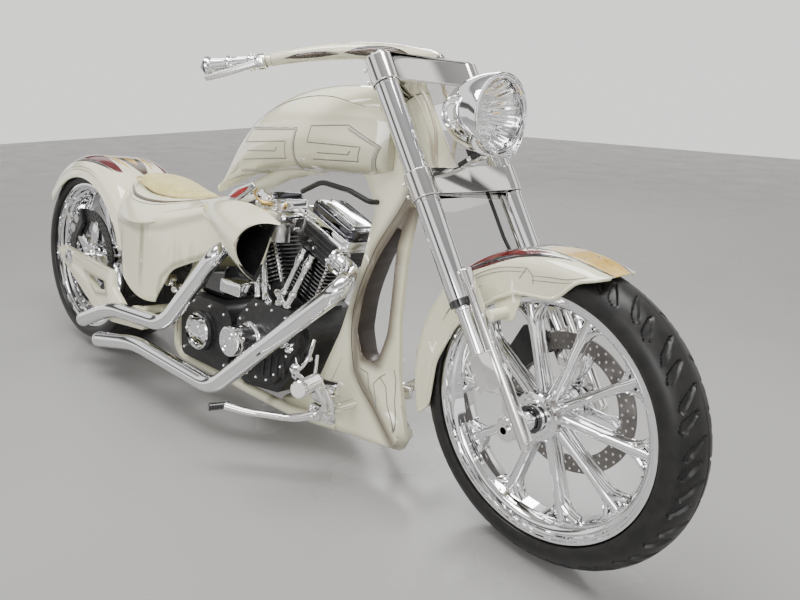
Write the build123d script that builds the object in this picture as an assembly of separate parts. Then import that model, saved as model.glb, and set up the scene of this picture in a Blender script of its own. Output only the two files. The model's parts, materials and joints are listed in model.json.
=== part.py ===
from build123d import *
from math import cos, radians, sin, sqrt, tan
import os

# Custom cruiser motorcycle, parked on its side stand.
# Every piece is drawn on an upright bike with straight bars: X runs forward from
# the rear axle, Y to the left and Z up from the floor. At the end the front end
# is turned about the steering axis, the whole bike leans onto its stand, and the
# origin moves to the middle of its footprint.

# Stance (mm and degrees)
wheelbase = 1950
lean = 8.6               # over to the left, onto the side stand
bar_turn = -8.2          # bars as parked, to the right
rake = 32.4

# Wheels: overall radius, half width, radius of the crown across the tread
rear_tyre_radius = 343
rear_tyre_half = 138
rear_crown = 400
rear_flange = 279
rear_rim_half = 127
front_tyre_radius = 350
front_tyre_half = 63
front_crown = 70
front_flange = 281
front_rim_half = 54
flange_wall = 6
bead_depth = 14          # flange edge down to the bead seat
axle_radius = 12.5
axle_clearance = 0.5

# Front end
axle_lead = 60           # front axle ahead of the steering axis
tube_lead = 54           # fork tubes ahead of the steering axis
tube_spread = 144        # fork tube centre to the middle of the bike
tube_radius = 27.5
slider_radius = 19
tube_low = 288           # lengths up the fork from the axle
tube_high = 874
tree_low = 522
tree_high = 806
tree_height = 66
head_radius = 34         # steering head round the stem
stem_radius = 16
stem_clearance = 0.5
bearing_gap = 0.5
tree_sweep = 74          # room behind the steering axis for the turning trees
bar_stub = 40            # straight bar end inside each perch
bar_end_radius = 13.5
leg_high = 345
leg_low = -52
lamp_lead = 205          # lens plane ahead of the steering axis
lamp_rise = 648          # lens centre up the fork
lamp_radius = 90
lamp_depth = 160
fender_radius = 364
fender_half = 78
fender_wall = 4
fender_back = 10         # its centre behind the axle

# Brakes
front_disc_radius = 166
front_disc_side = 78     # disc's middle plane, to the left
rear_disc_radius = 176
rear_disc_side = -112

# Body
rear_fender_radius = 388
rear_fender_half = 156
rear_fender_corner = 82
rear_fender_lip = 300
panel_lap = 44           # the side panel begins this far outside the fender's lip
body_wall = 6
blade_half = 37          # half the thickness of the front frame blade
blade_edge = 8           # and of its front edge
swing_inner = 172         # faces of the swingarm's side plates
swing_outer = 194
rail_radius = 16
rail_spread = 66
pivot_radius = 12         # swingarm pivot
rail_height = 96

# Engine
crank = (1100, 282)      # crankshaft, x and z
cylinder_tilt = 22.5
cylinder_side = 66       # half width of a finned barrel
head_start = 318         # up the cylinder from the crankshaft
rocker_start = 382
rocker_end = 446
case_half = 92
cam_side = 116           # right face of the cam cover
cam_top = 410
pipe_radius = 26
scoop_wall = 7
gearbox_top = 350

belt_side = 144          # inner edge of the drive belt, left of the tyre
belt_width = 14
belt_depth = 4
pulley_radius = 112
output = (700, 262, 38)  # gearbox pulley: x, z and radius
primary_side = 162       # inner and outer faces of the primary cover
primary_outer = 212

# Side stand
stand_pivot = (1040, 150, 118)
stand_foot = (1090, 335)
stand_radius = 11
stand_swing_radius = 15  # boss round the pin
stand_boss = 26
stand_pin = 6

seat_gap = 0.3           # between pieces that seat on each other


def stand_height(radius, crown, turn, lead, slope):
    """Axle height on the upright bike that rests a leaning, turned tyre on the floor."""
    tilt = radians(lean)
    across = -sin(radians(slope)) * sin(radians(turn)) * cos(tilt) - cos(radians(turn)) * sin(tilt)
    hanging = (radius - crown) * sqrt(1 - across ** 2) + crown
    shift = lead * sin(radians(turn)) * sin(tilt)
    drop = lead * sin(radians(slope)) * (1 - cos(radians(turn)))
    return (hanging + shift) / cos(tilt) + drop


rear_axle_height = stand_height(rear_tyre_radius, rear_crown, 0, 0, 0)
front_axle_height = stand_height(front_tyre_radius, front_crown, bar_turn, axle_lead, rake)

ahead = Vector(cos(radians(rake)), 0, sin(radians(rake)))
up_fork = Vector(-sin(radians(rake)), 0, cos(radians(rake)))
front_axle = Vector(wheelbase, 0, front_axle_height)
steering_axis = Axis(front_axle - ahead * axle_lead, up_fork)
# Fork frame: Z up the steering axis, X ahead of it, level with the front axle
fork = Plane(origin=steering_axis.position, x_dir=ahead, z_dir=up_fork).location
front_hub = Pos(*front_axle) * Rot(-90, 0, 0)
rear_hub = Pos(0, 0, rear_axle_height) * Rot(-90, 0, 0)


def outline(points, radii):
    """Closed outline with a fillet radius at each corner."""
    return make_face(FilletPolyline(*points, radius=radii, close=True))


def from_side(points, radii, low, high):
    """Side outline (x, z) of the upright bike, as thick as from low to high in Y."""
    face = outline([(x, z) for x, z in points], radii)
    return Pos(0, high, 0) * extrude(Plane.XZ * face, high - low)


def rod(start, end, radius):
    """Round bar between two points."""
    run = Vector(*end) - Vector(*start)
    return Plane(origin=start, z_dir=run) * extrude(Circle(radius), run.length)


def bent_tube(points, radius, bends):
    """Round tube along straight runs joined by tangent arcs."""
    path = FilletPolyline(*points, radius=bends)
    return sweep(Plane(origin=path @ 0, z_dir=path % 0) * Circle(radius), path=path)


def tapered(stations):
    """Loft through rounded sections: x, half width, low z, high z, corner radius."""
    sections = []
    for x, half, low, high, corner in stations:
        section = RectangleRounded(2 * half, high - low, corner)
        sections.append(Plane(origin=(x, 0, (low + high) / 2), x_dir=(0, 1, 0), z_dir=(1, 0, 0)) * section)
    return loft(sections)


def joined(pieces):
    whole = pieces[0]
    for piece in pieces[1:]:
        whole += piece
    return whole


def turned(points):
    """Ring turned about the wheel's axle from a closed section (across, radius)."""
    section = make_face(Polyline(*[(radius, across) for across, radius in points], close=True))
    return revolve(Plane.XZ * section, Axis.Z)


# Wheels, drawn about Z with the left side up

def tyre(radius, half, crown, flange, rim_half, wall=12):
    """Hollow carcass: round tread, bulging sidewalls and two beads on the rim."""
    bead = flange - bead_depth + seat_gap
    lip = rim_half - flange_wall - seat_gap
    edge = half - 6
    edge_radius = radius - crown + sqrt(crown ** 2 - edge ** 2)
    belly = (edge_radius + bead) / 2
    inside = [(bead, 18 - rim_half), (belly, wall - half), (edge_radius - wall, wall - edge),
              (radius - wall, 0), (edge_radius - wall, edge - wall), (belly, half - wall), (bead, rim_half - 18)]
    section = make_face([
        ThreePointArc((edge_radius, -edge), (radius, 0), (edge_radius, edge)).edge(),
        ThreePointArc((edge_radius, edge), (belly, half), (bead, rim_half - 6)).edge(),
        Line((bead, rim_half - 6), inside[-1]).edge(),
        *Polyline(*reversed(inside)).edges(),
        Line(inside[0], (bead, 6 - rim_half)).edge(),
        ThreePointArc((bead, 6 - rim_half), (belly, -half), (edge_radius, -edge)).edge()])
    over_flange = Pos((flange + seat_gap) / 2, lip + half) * Rectangle(flange + seat_gap, 2 * half)
    section -= over_flange
    section -= mirror(over_flange, Plane.XZ)
    return revolve(Plane.XZ * section, Axis.Z)


def front_rim():
    flange, half = front_flange, front_rim_half
    lip = half - flange_wall
    barrel = turned([(-half, flange), (-lip, flange), (-lip, flange - bead_depth), (-22, flange - 30),
                     (22, flange - 30), (lip, flange - bead_depth), (lip, flange), (half, flange),
                     (half, flange - 20), (half - 8, flange - 24), (half - 10, flange - 32), (18, flange - 40),
                     (-18, flange - 40), (10 - half, flange - 32), (8 - half, flange - 24), (-half, flange - 20)])
    hub = turned([(-66, axle_radius + axle_clearance), (-66, 30), (-52, 44), (-20, 46), (20, 46), (52, 44),
                  (66, 30), (66, axle_radius + axle_clearance)])
    spokes = []
    for turn in range(0, 360, 36):
        blade = Rot(0, 0, turn) * extrude(make_face(Polyline(
            (40, -11), (150, -8), (205, -9), (244, -36), (244, 36), (205, 9), (150, 8), (40, 11), close=True)), 7, both=True)
        ridge = Rot(0, 0, turn) * extrude(make_face(Polyline(
            (40, -6), (238, -4), (238, 4), (40, 6), close=True)), 14, both=True)
        spokes += [blade, ridge]
    return joined([barrel, hub] + spokes)


def front_disc():
    ring = extrude(Circle(front_disc_radius) - Circle(front_disc_radius - 40), 2.5, both=True)
    arm = Pos(84, 0, 0) * extrude(Rectangle(100, 16), 2.5, both=True)
    arms = [Rot(0, 0, turn) * arm for turn in range(0, 360, 72)]
    centre = extrude(Circle(52) - Circle(axle_radius + 3), 2.5, both=True)
    boss = Pos(0, 0, -5) * extrude(Circle(34) - Circle(axle_radius + 3), 7, both=True)
    return Pos(0, 0, front_disc_side) * joined([ring, centre, boss] + arms)


def rear_rim():
    flange, half = rear_flange, rear_rim_half
    lip = half - flange_wall
    barrel = turned([(-half, flange), (-lip, flange), (-lip, flange - bead_depth), (-60, flange - 34),
                     (60, flange - 34), (lip, flange - bead_depth), (lip, flange), (half, flange),
                     (half, flange - 18), (half - 20, flange - 30), (half - 60, flange - 40), (40, flange - 44),
                     (-40, flange - 44), (60 - half, flange - 40), (20 - half, flange - 30), (-half, flange - 18)])
    hub = turned([(-96, axle_radius + axle_clearance), (-96, 40), (-60, 52), (60, 52), (96, 40),
                  (96, axle_radius + axle_clearance)])
    plate = extrude(Circle(70), 20, both=True) - extrude(Circle(40), 30, both=True)
    spokes = []
    for turn in range(0, 360, 60):
        spokes.append(Rot(0, 0, turn) * extrude(make_face(Polyline(
            (45, -20), (238, -30), (238, 30), (45, 20), close=True)), 14, both=True))
    return joined([barrel, hub, plate] + spokes)


def rear_disc():
    """Black brake disc on a chrome flower of five petals, on the right."""
    ring = extrude(Circle(rear_disc_radius) - Circle(rear_disc_radius - 42), 3, both=True)
    petal = Pos(88, 0, 0) * extrude(Ellipse(60, 24), 3, both=True)
    petals = [Rot(0, 0, turn) * petal for turn in range(0, 360, 72)]
    boss = Pos(0, 0, 4) * extrude(Circle(48) - Circle(axle_radius + 3), 12, both=True)
    return Pos(0, 0, rear_disc_side) * joined([ring, boss] + [p - extrude(Circle(30), 5, both=True) for p in petals])


def rear_pulley():
    width = belt_width + 2
    ring = Pos(0, 0, belt_side - 1) * extrude(Circle(pulley_radius) - Circle(60), width)
    hub = extrude(Circle(64) - Circle(axle_radius + 3), belt_side + width - 97 - seat_gap)
    hub = Pos(0, 0, 96 + seat_gap) * hub
    return ring + hub


# Front end, in the fork frame: X ahead of the steering axis, Z up the fork

def fork_cylinder(lead, side, low, high, radius):
    return fork * Pos(lead, side, low) * extrude(Circle(radius), high - low)


def fork_block(points, radii, low, high):
    """Slab across the fork: outline (lead, side), between two heights up the fork."""
    return fork * Pos(0, 0, low) * extrude(outline(points, radii), high - low)


def tree(low, stem_hole):
    """Billet clamp: a flat-faced slab with a round sleeve at each fork tube."""
    wide = tube_spread
    slab = fork_block([(-36, -40), (tube_lead - 26, -wide), (tube_lead + 26, -wide), (tube_lead + 24, 0),
                       (tube_lead + 26, wide), (tube_lead - 26, wide), (-36, 40)],
                      [14, 0, 0, 0, 0, 0, 14], low, low + tree_height)
    sleeves = [fork_cylinder(tube_lead, side * wide, low, low + tree_height, tube_radius + 5) for side in (-1, 1)]
    bores = [fork_cylinder(tube_lead, side * wide, low - 1, low + tree_height + 1, tube_radius) for side in (-1, 1)]
    clamp = joined([slab] + sleeves)
    for bore in bores:
        clamp -= bore
    return clamp - fork_cylinder(0, 0, low - 1, low + tree_height + 1, stem_hole)


def top_tree():
    return tree(tree_high, stem_radius)


def bottom_tree():
    stem = fork_cylinder(0, 0, tree_low, tree_high + tree_height, stem_radius)
    bracket = fork_block([(tube_lead + 10, -22), (tube_lead + 58, -22), (tube_lead + 58, 22), (tube_lead + 10, 22)],
                         [0, 6, 6, 0], tree_low + tree_height, tree_low + tree_height + 12)
    return tree(tree_low, stem_radius - 1) + stem + bracket


def fork_tubes():
    tubes = []
    for side in (-1, 1):
        outer = fork_cylinder(tube_lead, side * tube_spread, tube_low, tube_high, tube_radius)
        inside = fork_cylinder(tube_lead, side * tube_spread, tube_low - 1, tube_low + 240, slider_radius + seat_gap)
        tubes.append(outer - inside)
    return tubes


def fork_sliders():
    return [fork_cylinder(tube_lead, side * tube_spread, 120, tube_low + 200, slider_radius) for side in (-1, 1)]


def fork_legs():
    """Slender billet leg: front bar, clamp round the slider and boss round the axle."""
    legs = []
    for side in (-1, 1):
        middle = side * tube_spread
        bar = fork * Pos(0, middle - 14, 0) * extrude(Plane.XZ * outline(
            [(axle_lead + 26, leg_high), (axle_lead + 44, leg_high), (axle_lead + 46, leg_low + 14),
             (axle_lead + 36, leg_low), (axle_lead + 12, leg_low), (axle_lead + 6, 60), (axle_lead + 18, 160)],
            [6, 6, 8, 8, 8, 20, 40]), -28)
        clamp = fork_block([(tube_lead - 26, middle - 22), (tube_lead + 12, middle - 22), (tube_lead + 44, middle - 16),
                            (tube_lead + 44, middle + 16), (tube_lead + 12, middle + 22), (tube_lead - 26, middle + 22)],
                           [8, 0, 0, 0, 0, 8], 84, 168)
        boss = Pos(*(front_axle + Vector(0, middle - 17, 0))) * extrude(Plane.XZ * Circle(26), -34)
        leg = bar + clamp + boss
        leg -= fork_cylinder(tube_lead, middle, 120, leg_high, slider_radius)
        leg -= Pos(*(front_axle + Vector(0, middle - 20, 0))) * extrude(Plane.XZ * Circle(axle_radius), -40)
        upper = fork_cylinder(tube_lead, middle, tube_low, leg_high + 1, tube_radius + seat_gap)
        legs.append(leg - upper)
    return legs


def front_axle_bar():
    reach = tube_spread + 17
    bar = Pos(*(front_axle - Vector(0, reach, 0))) * extrude(Plane.XZ * (Circle(axle_radius) - Circle(8)), -2 * reach)
    spacers = []
    for start, end in ((-tube_spread + 17, -66 - seat_gap), (front_disc_side + 3 + seat_gap, tube_spread - 17)):
        ring = Circle(22) - Circle(axle_radius)
        spacers.append(Pos(*(front_axle + Vector(0, start, 0))) * extrude(Plane.XZ * ring, -(end - start)))
    return joined([bar] + spacers)


def bar_seat():
    return front_axle + ahead * (22 - axle_lead) + up_fork * (tree_high + tree_height)


def grip_line(side):
    """Where a grip starts, and the direction that it points in."""
    seat = bar_seat()
    inner = Vector(seat.X - 262, side * 288, seat.Z + 2)
    return inner, Vector(-84, side * 84, -17).normalized()


def handlebar():
    """Sculpted bar: broad over the top tree, then swept back and down to each grip."""
    seat = bar_seat()
    inner, outward = grip_line(-1)
    stub_start = inner - outward * bar_stub
    # centre, run, width across, height
    stations = [
        (Vector(seat.X + 2, 0, seat.Z + 36), Vector(0, -1, 0), 62, 40),
        (Vector(seat.X - 40, -110, seat.Z + 38), Vector(-0.55, -0.83, 0), 54, 40),
        (Vector(seat.X - 142, -204, seat.Z + 26), Vector(-0.74, -0.66, -0.1), 44, 36),
        (stub_start, outward, 2 * bar_end_radius + 2, 2 * bar_end_radius + 2)]
    right = loft([Plane(origin=centre, x_dir=run.cross(Vector(0, 0, 1)), z_dir=run) * Ellipse(width / 2, height / 2)
                  for centre, run, width, height in stations])
    right += rod(stub_start - outward * 4, inner, bar_end_radius)
    risers = [fork_cylinder(24, side * 40, tree_high + tree_height, tree_high + tree_height + 24, 13) for side in (-1, 1)]
    return joined([right, mirror(right, Plane.XZ)] + risers)


def grips():
    """Chrome grips turned with flared collars and a pointed end."""
    # along, radius
    profile = [(0, 0), (0, 17), (8, 17), (12, 21), (18, 15), (60, 18), (66, 22), (70, 16), (108, 19), (116, 25),
               (122, 25), (140, 0)]
    body = revolve(Plane.XZ * make_face(Polyline(*[(radius, along) for along, radius in profile], close=True)), Axis.Z)
    pieces = []
    for side in (-1, 1):
        inner, outward = grip_line(side)
        pieces.append(Plane(origin=inner + outward * seat_gap, z_dir=outward) * body)
    return pieces


def levers():
    """Perch round each bar end, with its lever ahead of the grip."""
    pieces = []
    for side in (-1, 1):
        inner, outward = grip_line(side)
        front = outward.cross(Vector(0, 0, side)).normalized()
        perch_start = inner - outward * 26
        perch = Plane(origin=perch_start, z_dir=outward) * extrude(Circle(19) - Circle(bar_end_radius + seat_gap), 20)
        route = [perch_start + outward * 10 + front * 17, perch_start + outward * 12 + front * 46,
                 inner + outward * 120 + front * 50]
        pieces.append(perch + bent_tube(route, 5.5, [14]))
    return pieces


def lamp_place():
    centre = front_axle + ahead * (lamp_lead - axle_lead) + up_fork * lamp_rise
    return Pos(*centre) * Rot(0, 90, 0)


def bullet(depth, radius, front):
    """Solid of revolution from the lamp's round tail to a straight rim."""
    nose = ThreePointArc((0, -depth), (radius * 0.72, -depth * 0.62), (radius, -10)).edge()
    edges = [nose, *Polyline((radius, -10), (radius, front), (0, front), (0, -depth)).edges()]
    return revolve(Plane.XZ * make_face(edges), Axis.Z)


def lamp_envelope():
    return lamp_place() * bullet(lamp_depth, lamp_radius, 12)


def headlamp_shell():
    """Bullet shell, open in front, with a peaked visor over the lens."""
    wall = 6
    shell = bullet(lamp_depth, lamp_radius, 12) - Pos(0, 0, 1) * bullet(lamp_depth - wall, lamp_radius - wall, 14)
    ring = Pos(0, 0, 11) * extrude(Circle(lamp_radius) - Circle(lamp_radius - 4), 36)
    peak = Plane.XZ * make_face(Polyline((-lamp_radius, 10), (lamp_radius, 10), (0, 46), close=True))
    visor = ring & (Rot(0, 0, 90) * extrude(peak, 200))
    return lamp_place() * (shell + visor)


def headlamp_lens():
    """Shallow domed glass inside the shell's rim."""
    radius, edge, rise = lamp_radius - 6 - seat_gap, 4, 9
    bulge = (radius ** 2 + rise ** 2) / (2 * rise)
    cap = Pos(0, 0, edge + rise - bulge) * Sphere(bulge)
    return lamp_place() * Pos(0, 0, -4) * (cap & extrude(Circle(radius), edge + rise + 1))


def lamp_bracket():
    foot = front_axle + ahead * (tube_lead + 34 - axle_lead) + up_fork * (tree_low + tree_height + 12)
    lamp = front_axle + ahead * (lamp_lead - axle_lead - 70) + up_fork * (lamp_rise - 60)
    return rod(foot, lamp, 11) - lamp_envelope()


def arch(radius, half, low, wall, corner):
    """Fender section about Z: (radius, across), open towards the axle."""
    outer = make_face(FilletPolyline((low, -half), (radius, -half), (radius, half), (low, half),
                                     radius=[0, corner, corner, 0], close=True))
    inner = make_face(FilletPolyline((low - 1, wall - half), (radius - wall, wall - half), (radius - wall, half - wall),
                                     (low - 1, half - wall), radius=[0, corner - wall, corner - wall, 0], close=True))
    return outer - inner


def front_fender():
    """Close-fitting fender with a long tail behind the wheel and a swooping lower edge."""
    section = arch(fender_radius, fender_half, 262, fender_wall, 38)
    start, sweep_angle = 199, 136
    skin = Rot(0, 0, -start) * revolve(Plane.XZ * section, Axis.Z, sweep_angle)
    x, z = wheelbase, front_axle_height
    keep = from_side([(x + 240, z + 420), (x + 206, z + 366), (x + 124, z + 336), (x + 72, z + 320), (x + 26, z + 272),
                      (x - 70, z + 266), (x - 120, z + 240), (x - 230, z + 150), (x - 286, z + 40), (x - 300, z - 80),
                      (x - 352, z - 132), (x - 420, z - 60), (x - 420, z + 300), (x - 200, z + 430)],
                     [0, 0, 60, 60, 50, 20, 20, 120, 120, 40, 0, 40, 0, 0], -120, 120)
    fender = (front_hub * Pos(-fender_back, 0, 0) * skin) & keep
    bosses = []
    for side in (-1, 1):
        boss_x, boss_z = x - 91, z + 218
        inner, outer = fender_half - 1, tube_spread - 14 - seat_gap
        low, high = sorted((side * inner, side * outer))
        bosses.append(Pos(boss_x, high, boss_z) * extrude(Plane.XZ * Circle(13), high - low))
        low, high = sorted((side * (fender_half - 4), side * fender_half))
        bosses.append(from_side([(boss_x - 40, z + 280), (boss_x - 24, z + 200), (boss_x + 24, z + 200), (boss_x + 46, z + 290)],
                                [0, 20, 20, 0], low, high))
    return joined([fender] + bosses)


def front_caliper():
    """Caliper behind the left leg, over the rear edge of the disc."""
    x, z = wheelbase, front_axle_height
    low, high = front_disc_side - 24, front_disc_side + 24
    body = from_side([(x - 190, z + 50), (x - 130, z + 165), (x - 76, z + 130), (x - 100, z + 70), (x - 150, z + 20)],
                     [16, 16, 12, 12, 16], low, high)
    slot = from_side([(x - 260, z - 40), (x - 60, z + 260), (x + 40, z + 100), (x - 100, z - 40)],
                     [0, 0, 0, 0], front_disc_side - 5, front_disc_side + 5)
    slot &= Pos(x, front_disc_side + 5, z) * extrude(Plane.XZ * Circle(front_disc_radius + 5), 10)
    lug = rod((x - 88, high - 1, z + 102), (x - 88, tube_spread - 22 - seat_gap, z + 102), 12)
    return body - slot + lug


# Frame and body

backbone_radius = 24
seat_rest = 548          # top of the frame's pad under the tail body
backbone_route = [(wheelbase - 650, 0, 842), (1010, 0, 782), (790, 0, 680), (650, 0, 520)]


def front_blade():
    """Keel-like blade: flat sides that bevel from a curved ridge to a thin front edge."""
    # behind the front axle and height on the core, then on the flat side, and the fillet radius there
    corners = [
        (474, 930, 482, 924, 10), (404, 836, 424, 840, 16), (442, 742, 458, 748, 30), (456, 600, 540, 612, 240),
        (455, 450, 592, 440, 240), (436, 300, 566, 280, 160), (388, 128, 394, 138, 10), (400, 97, 408, 110, 10),
        (470, 90, 470, 100, 30), (577, 78, 577, 90, 200), (772, 56, 772, 68, 200), (860, 58, 856, 66, 6),
        (860, 112, 856, 106, 6), (785, 130, 788, 122, 30), (719, 206, 712, 200, 100), (644, 380, 636, 376, 300),
        (594, 560, 586, 558, 400), (560, 730, 552, 730, 50), (610, 800, 606, 808, 40), (750, 812, 746, 818, 5),
        (750, 862, 746, 856, 5), (590, 878, 588, 872, 50)]
    radii = [radius for *_, radius in corners]
    core = outline([(wheelbase - behind, z) for behind, z, _, _, _ in corners], radii)
    flat = outline([(wheelbase - behind, z) for _, _, behind, z, _ in corners], radii)
    half = loft([Plane.XZ.offset(blade_edge) * core, Plane.XZ.offset(blade_half) * flat], ruled=True)
    middle = Pos(0, blade_edge, 0) * extrude(Plane.XZ * core, 2 * blade_edge)
    return joined([middle, half, mirror(half, Plane.XZ)])


def frame():
    """Steering head, backbone, sculpted front blade with its teardrop hole, and lower rails."""
    head = fork_cylinder(0, 0, tree_low + tree_height + bearing_gap, tree_high - bearing_gap, head_radius)
    blade = front_blade()
    hole = from_side([(wheelbase - behind, z) for behind, z in (
        (450, 736), (484, 640), (486, 400), (506, 316), (548, 320), (575, 390), (566, 500), (530, 600))],
        [6, 300, 160, 22, 30, 60, 300, 300], -blade_half - 1, blade_half + 1)
    backbone = bent_tube(backbone_route, backbone_radius, [200, 160])
    posts = [rod(backbone_route[-1], (560, side * rail_spread, 300), 16) for side in (-1, 1)]
    rails = [bent_tube([(wheelbase - 620, side * 30, rail_height), (wheelbase - 770, side * rail_spread, rail_height),
                        (560, side * rail_spread, rail_height + 6), (560, side * rail_spread, 300)], rail_radius, [60, 60])
             for side in (-1, 1)]
    knot = Pos(*backbone_route[-1]) * Sphere(backbone_radius + 2)
    pivot = rod((560, -114, 236), (560, 114, 236), pivot_radius)
    seat_post = rod(backbone_route[-1], (596, 0, seat_rest - 14), 15)
    seat_pad_base = Pos(592, 0, seat_rest - 14) * Box(60, 80, 28)
    whole = joined([blade, backbone, knot, pivot, seat_post, seat_pad_base] + posts + rails) - hole
    whole -= fork_cylinder(0, 0, tree_low - 8, tree_low + tree_height + bearing_gap, tree_sweep)
    whole -= fork_cylinder(0, 0, tree_high - bearing_gap, tree_high + tree_height + 40, tree_sweep)
    whole += head
    return whole - fork_cylinder(0, 0, tree_low, tree_high + tree_height, stem_radius + stem_clearance)


tank_stations = [
    # x, half width, low z, high z, corner radius
    (670, 12, 682, 706, 10),
    (762, 36, 720, 788, 30),
    (850, 62, 750, 882, 54),
    (960, 90, 774, 958, 78),
    (wheelbase - 840, 114, 792, 1012, 98),
    (wheelbase - 700, 120, 798, 1030, 102),
    (wheelbase - 585, 104, 805, 1026, 90),
    (wheelbase - 505, 66, 818, 984, 56)]


def fuel_tank():
    """Stretched tank, hollowed below for the backbone and the steering head."""
    body = tapered(tank_stations)
    body -= bent_tube(backbone_route, backbone_radius + seat_gap, [200, 160])
    slot = Box(600, 2 * blade_half + 6, 170, align=(Align.MIN, Align.CENTER, Align.MAX))
    body -= Pos(wheelbase - 770, 0, 940) * slot
    reach = tree_sweep - 14
    turning = [(-reach, -200), (reach, -200), (reach, 200), (-reach, 200)]
    body -= fork_block(turning, [0, 0, 0, 0], tree_high - 6, tree_high + tree_height + 80)
    return body - fork_cylinder(0, 0, 500, 900, head_radius + 30)


def bulged(stations, inset=0):
    """Loft through lens-like sections: x, half width, crease height, top height."""
    sections = []
    for x, half, crease, top in stations:
        edge = half - inset
        upper = ThreePointArc((-edge, crease), (0, top - inset), (edge, crease)).edge()
        lower = ThreePointArc((edge, crease), (0, crease - crease_drop + inset), (-edge, crease)).edge()
        sections.append(Plane(origin=(x, 0, 0), x_dir=(0, 1, 0), z_dir=(1, 0, 0)) * make_face([upper, lower]))
    return loft(sections)


crease_drop = 20         # underside of the seat dish below its crease


def tail_body():
    """Seat dish that bulges over recessed side panels, one shell cut round the wheel."""
    dish = [(160, 110, 564, 650), (290, 152, 550, 688), (430, 182, 546, 676), (570, 166, 568, 658),
            (700, 110, 632, 668), (812, 58, 658, 690)]
    panels = [(250, 148, 420, 580, 40), (430, 172, 276, 584, 44), (580, 165, 276, 606, 44), (812, 52, 440, 672, 24)]
    outer = bulged(dish) + tapered(panels)
    room = [(x, half - body_wall, low - 100, high - body_wall, corner - body_wall)
            for x, half, low, high, corner in panels]
    shell = outer - bulged([(x - body_wall, *size) for x, *size in dish], body_wall) - tapered(room)
    shell -= rear_hub * revolve(Plane.XZ * fender_outline(seat_gap), Axis.Z)
    shell -= Pos(0, 0, rear_axle_height) * Rot(90, 0, 0) * Cylinder(rear_fender_lip + panel_lap, 600)
    arches = from_side([(560, 180), (566, 300), (640, 420), (760, 478), (940, 520), (940, 180)],
                       [0, 60, 90, 90, 0, 0], -300, 300)
    shell -= arches
    shell -= bent_tube(backbone_route, backbone_radius + seat_gap, [200, 160])
    bulkhead = Pos(592, 0, seat_rest + seat_gap) * extrude(Rectangle(56, 90), 680 - seat_rest)
    shell += bulkhead & outer
    return shell - seat_pad()


def seat_pad():
    """Teardrop saddle pad lying on the dish, from the fender down to the tank."""
    # x, half width, height of its middle plane, bulge, slope
    stations = [(262, 62, 682, 16, -0.1), (350, 104, 672, 26, -0.2), (440, 108, 652, 32, -0.2), (540, 84, 644, 26, 0.1),
                (660, 18, 662, 10, 0.2)]
    return loft([Plane(origin=(x, 0, z), x_dir=(0, 1, 0), z_dir=(1, 0, slope)) * Ellipse(half, bulge)
                 for x, half, z, bulge, slope in stations])


def fender_outline(gap):
    """Outside of the rear fender's section, (radius, across), grown by a gap."""
    far, side, corner = rear_fender_radius + gap, rear_fender_half + gap, rear_fender_corner + gap
    return make_face(FilletPolyline((rear_fender_lip, -side), (far, -side), (far, side), (rear_fender_lip, side),
                                    radius=[0, corner, corner, 0], close=True))


def rear_fender():
    section = arch(rear_fender_radius, rear_fender_half, rear_fender_lip, body_wall, rear_fender_corner)
    skin = Rot(0, 0, -143) * revolve(Plane.XZ * section, Axis.Z, 129)
    return rear_hub * skin


def swingarm():
    """Pierced side plates from the pivot back to the axle, joined ahead of the tyre."""
    low, high = swing_inner, swing_outer
    x, z = 0, rear_axle_height
    sides = []
    for side in (-1, 1):
        y_low, y_high = sorted((side * low, side * high))
        plate = from_side([(x - 106, z + 18), (x - 60, z + 34), (x + 320, z + 6), (x + 330, z - 50), (x + 440, z - 122),
                           (x + 476, z - 82), (x + 528, z - 82), (x + 560, z - 150), (x + 330, z - 176), (x + 190, z - 152),
                           (x - 70, z - 20)],
                          [10, 20, 14, 30, 20, 14, 10, 16, 60, 40, 14], y_low, y_high)
        slot = from_side([(x + 130, z - 36), (x + 270, z - 40), (x + 280, z - 70), (x + 210, z - 84)],
                         [8, 8, 8, 12], y_low - 1, y_high + 1)
        sides.append(plate - slot)
    cross = rod((502, -low - 1, 252), (502, low + 1, 252), 14)
    lugs = [rod((502, side * 98, 252), (560, side * 98, 236), 14) for side in (-1, 1)]
    bore = rod((0, -high - 1, z), (0, high + 1, z), axle_radius + seat_gap)
    whole = joined(sides + [cross] + lugs) - bore
    return whole - rod((560, -150, 236), (560, 150, 236), pivot_radius + seat_gap)


def rear_axle_bar():
    reach = swing_outer - 4
    return Pos(0, reach, rear_axle_height) * extrude(Plane.XZ * (Circle(axle_radius) - Circle(6)), 2 * reach)


def rear_caliper():
    x, z = 0, rear_axle_height
    body = from_side([(x - 150, z + 60), (x - 120, z + 130), (x - 60, z + 180), (x - 40, z + 120), (x - 90, z + 60)],
                     [10, 10, 10, 10, 10], rear_disc_side - 18, rear_disc_side + 18)
    slot = Pos(x, rear_disc_side + 4, z) * extrude(Plane.XZ * Circle(rear_disc_radius + 4), 8)
    return body - slot


# Engine and drive, in side view about the crankshaft

def on_cylinder(tilt, along, ahead_of, side):
    """Point on a cylinder that tilts forward from the crankshaft by tilt degrees."""
    a = radians(tilt)
    return (crank[0] + along * sin(a) + ahead_of * cos(a), side, crank[1] + along * cos(a) - ahead_of * sin(a))


def cylinder_frame(tilt):
    return Pos(crank[0], 0, crank[1]) * Rot(0, tilt, 0)


tilts = (-cylinder_tilt, cylinder_tilt)


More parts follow.
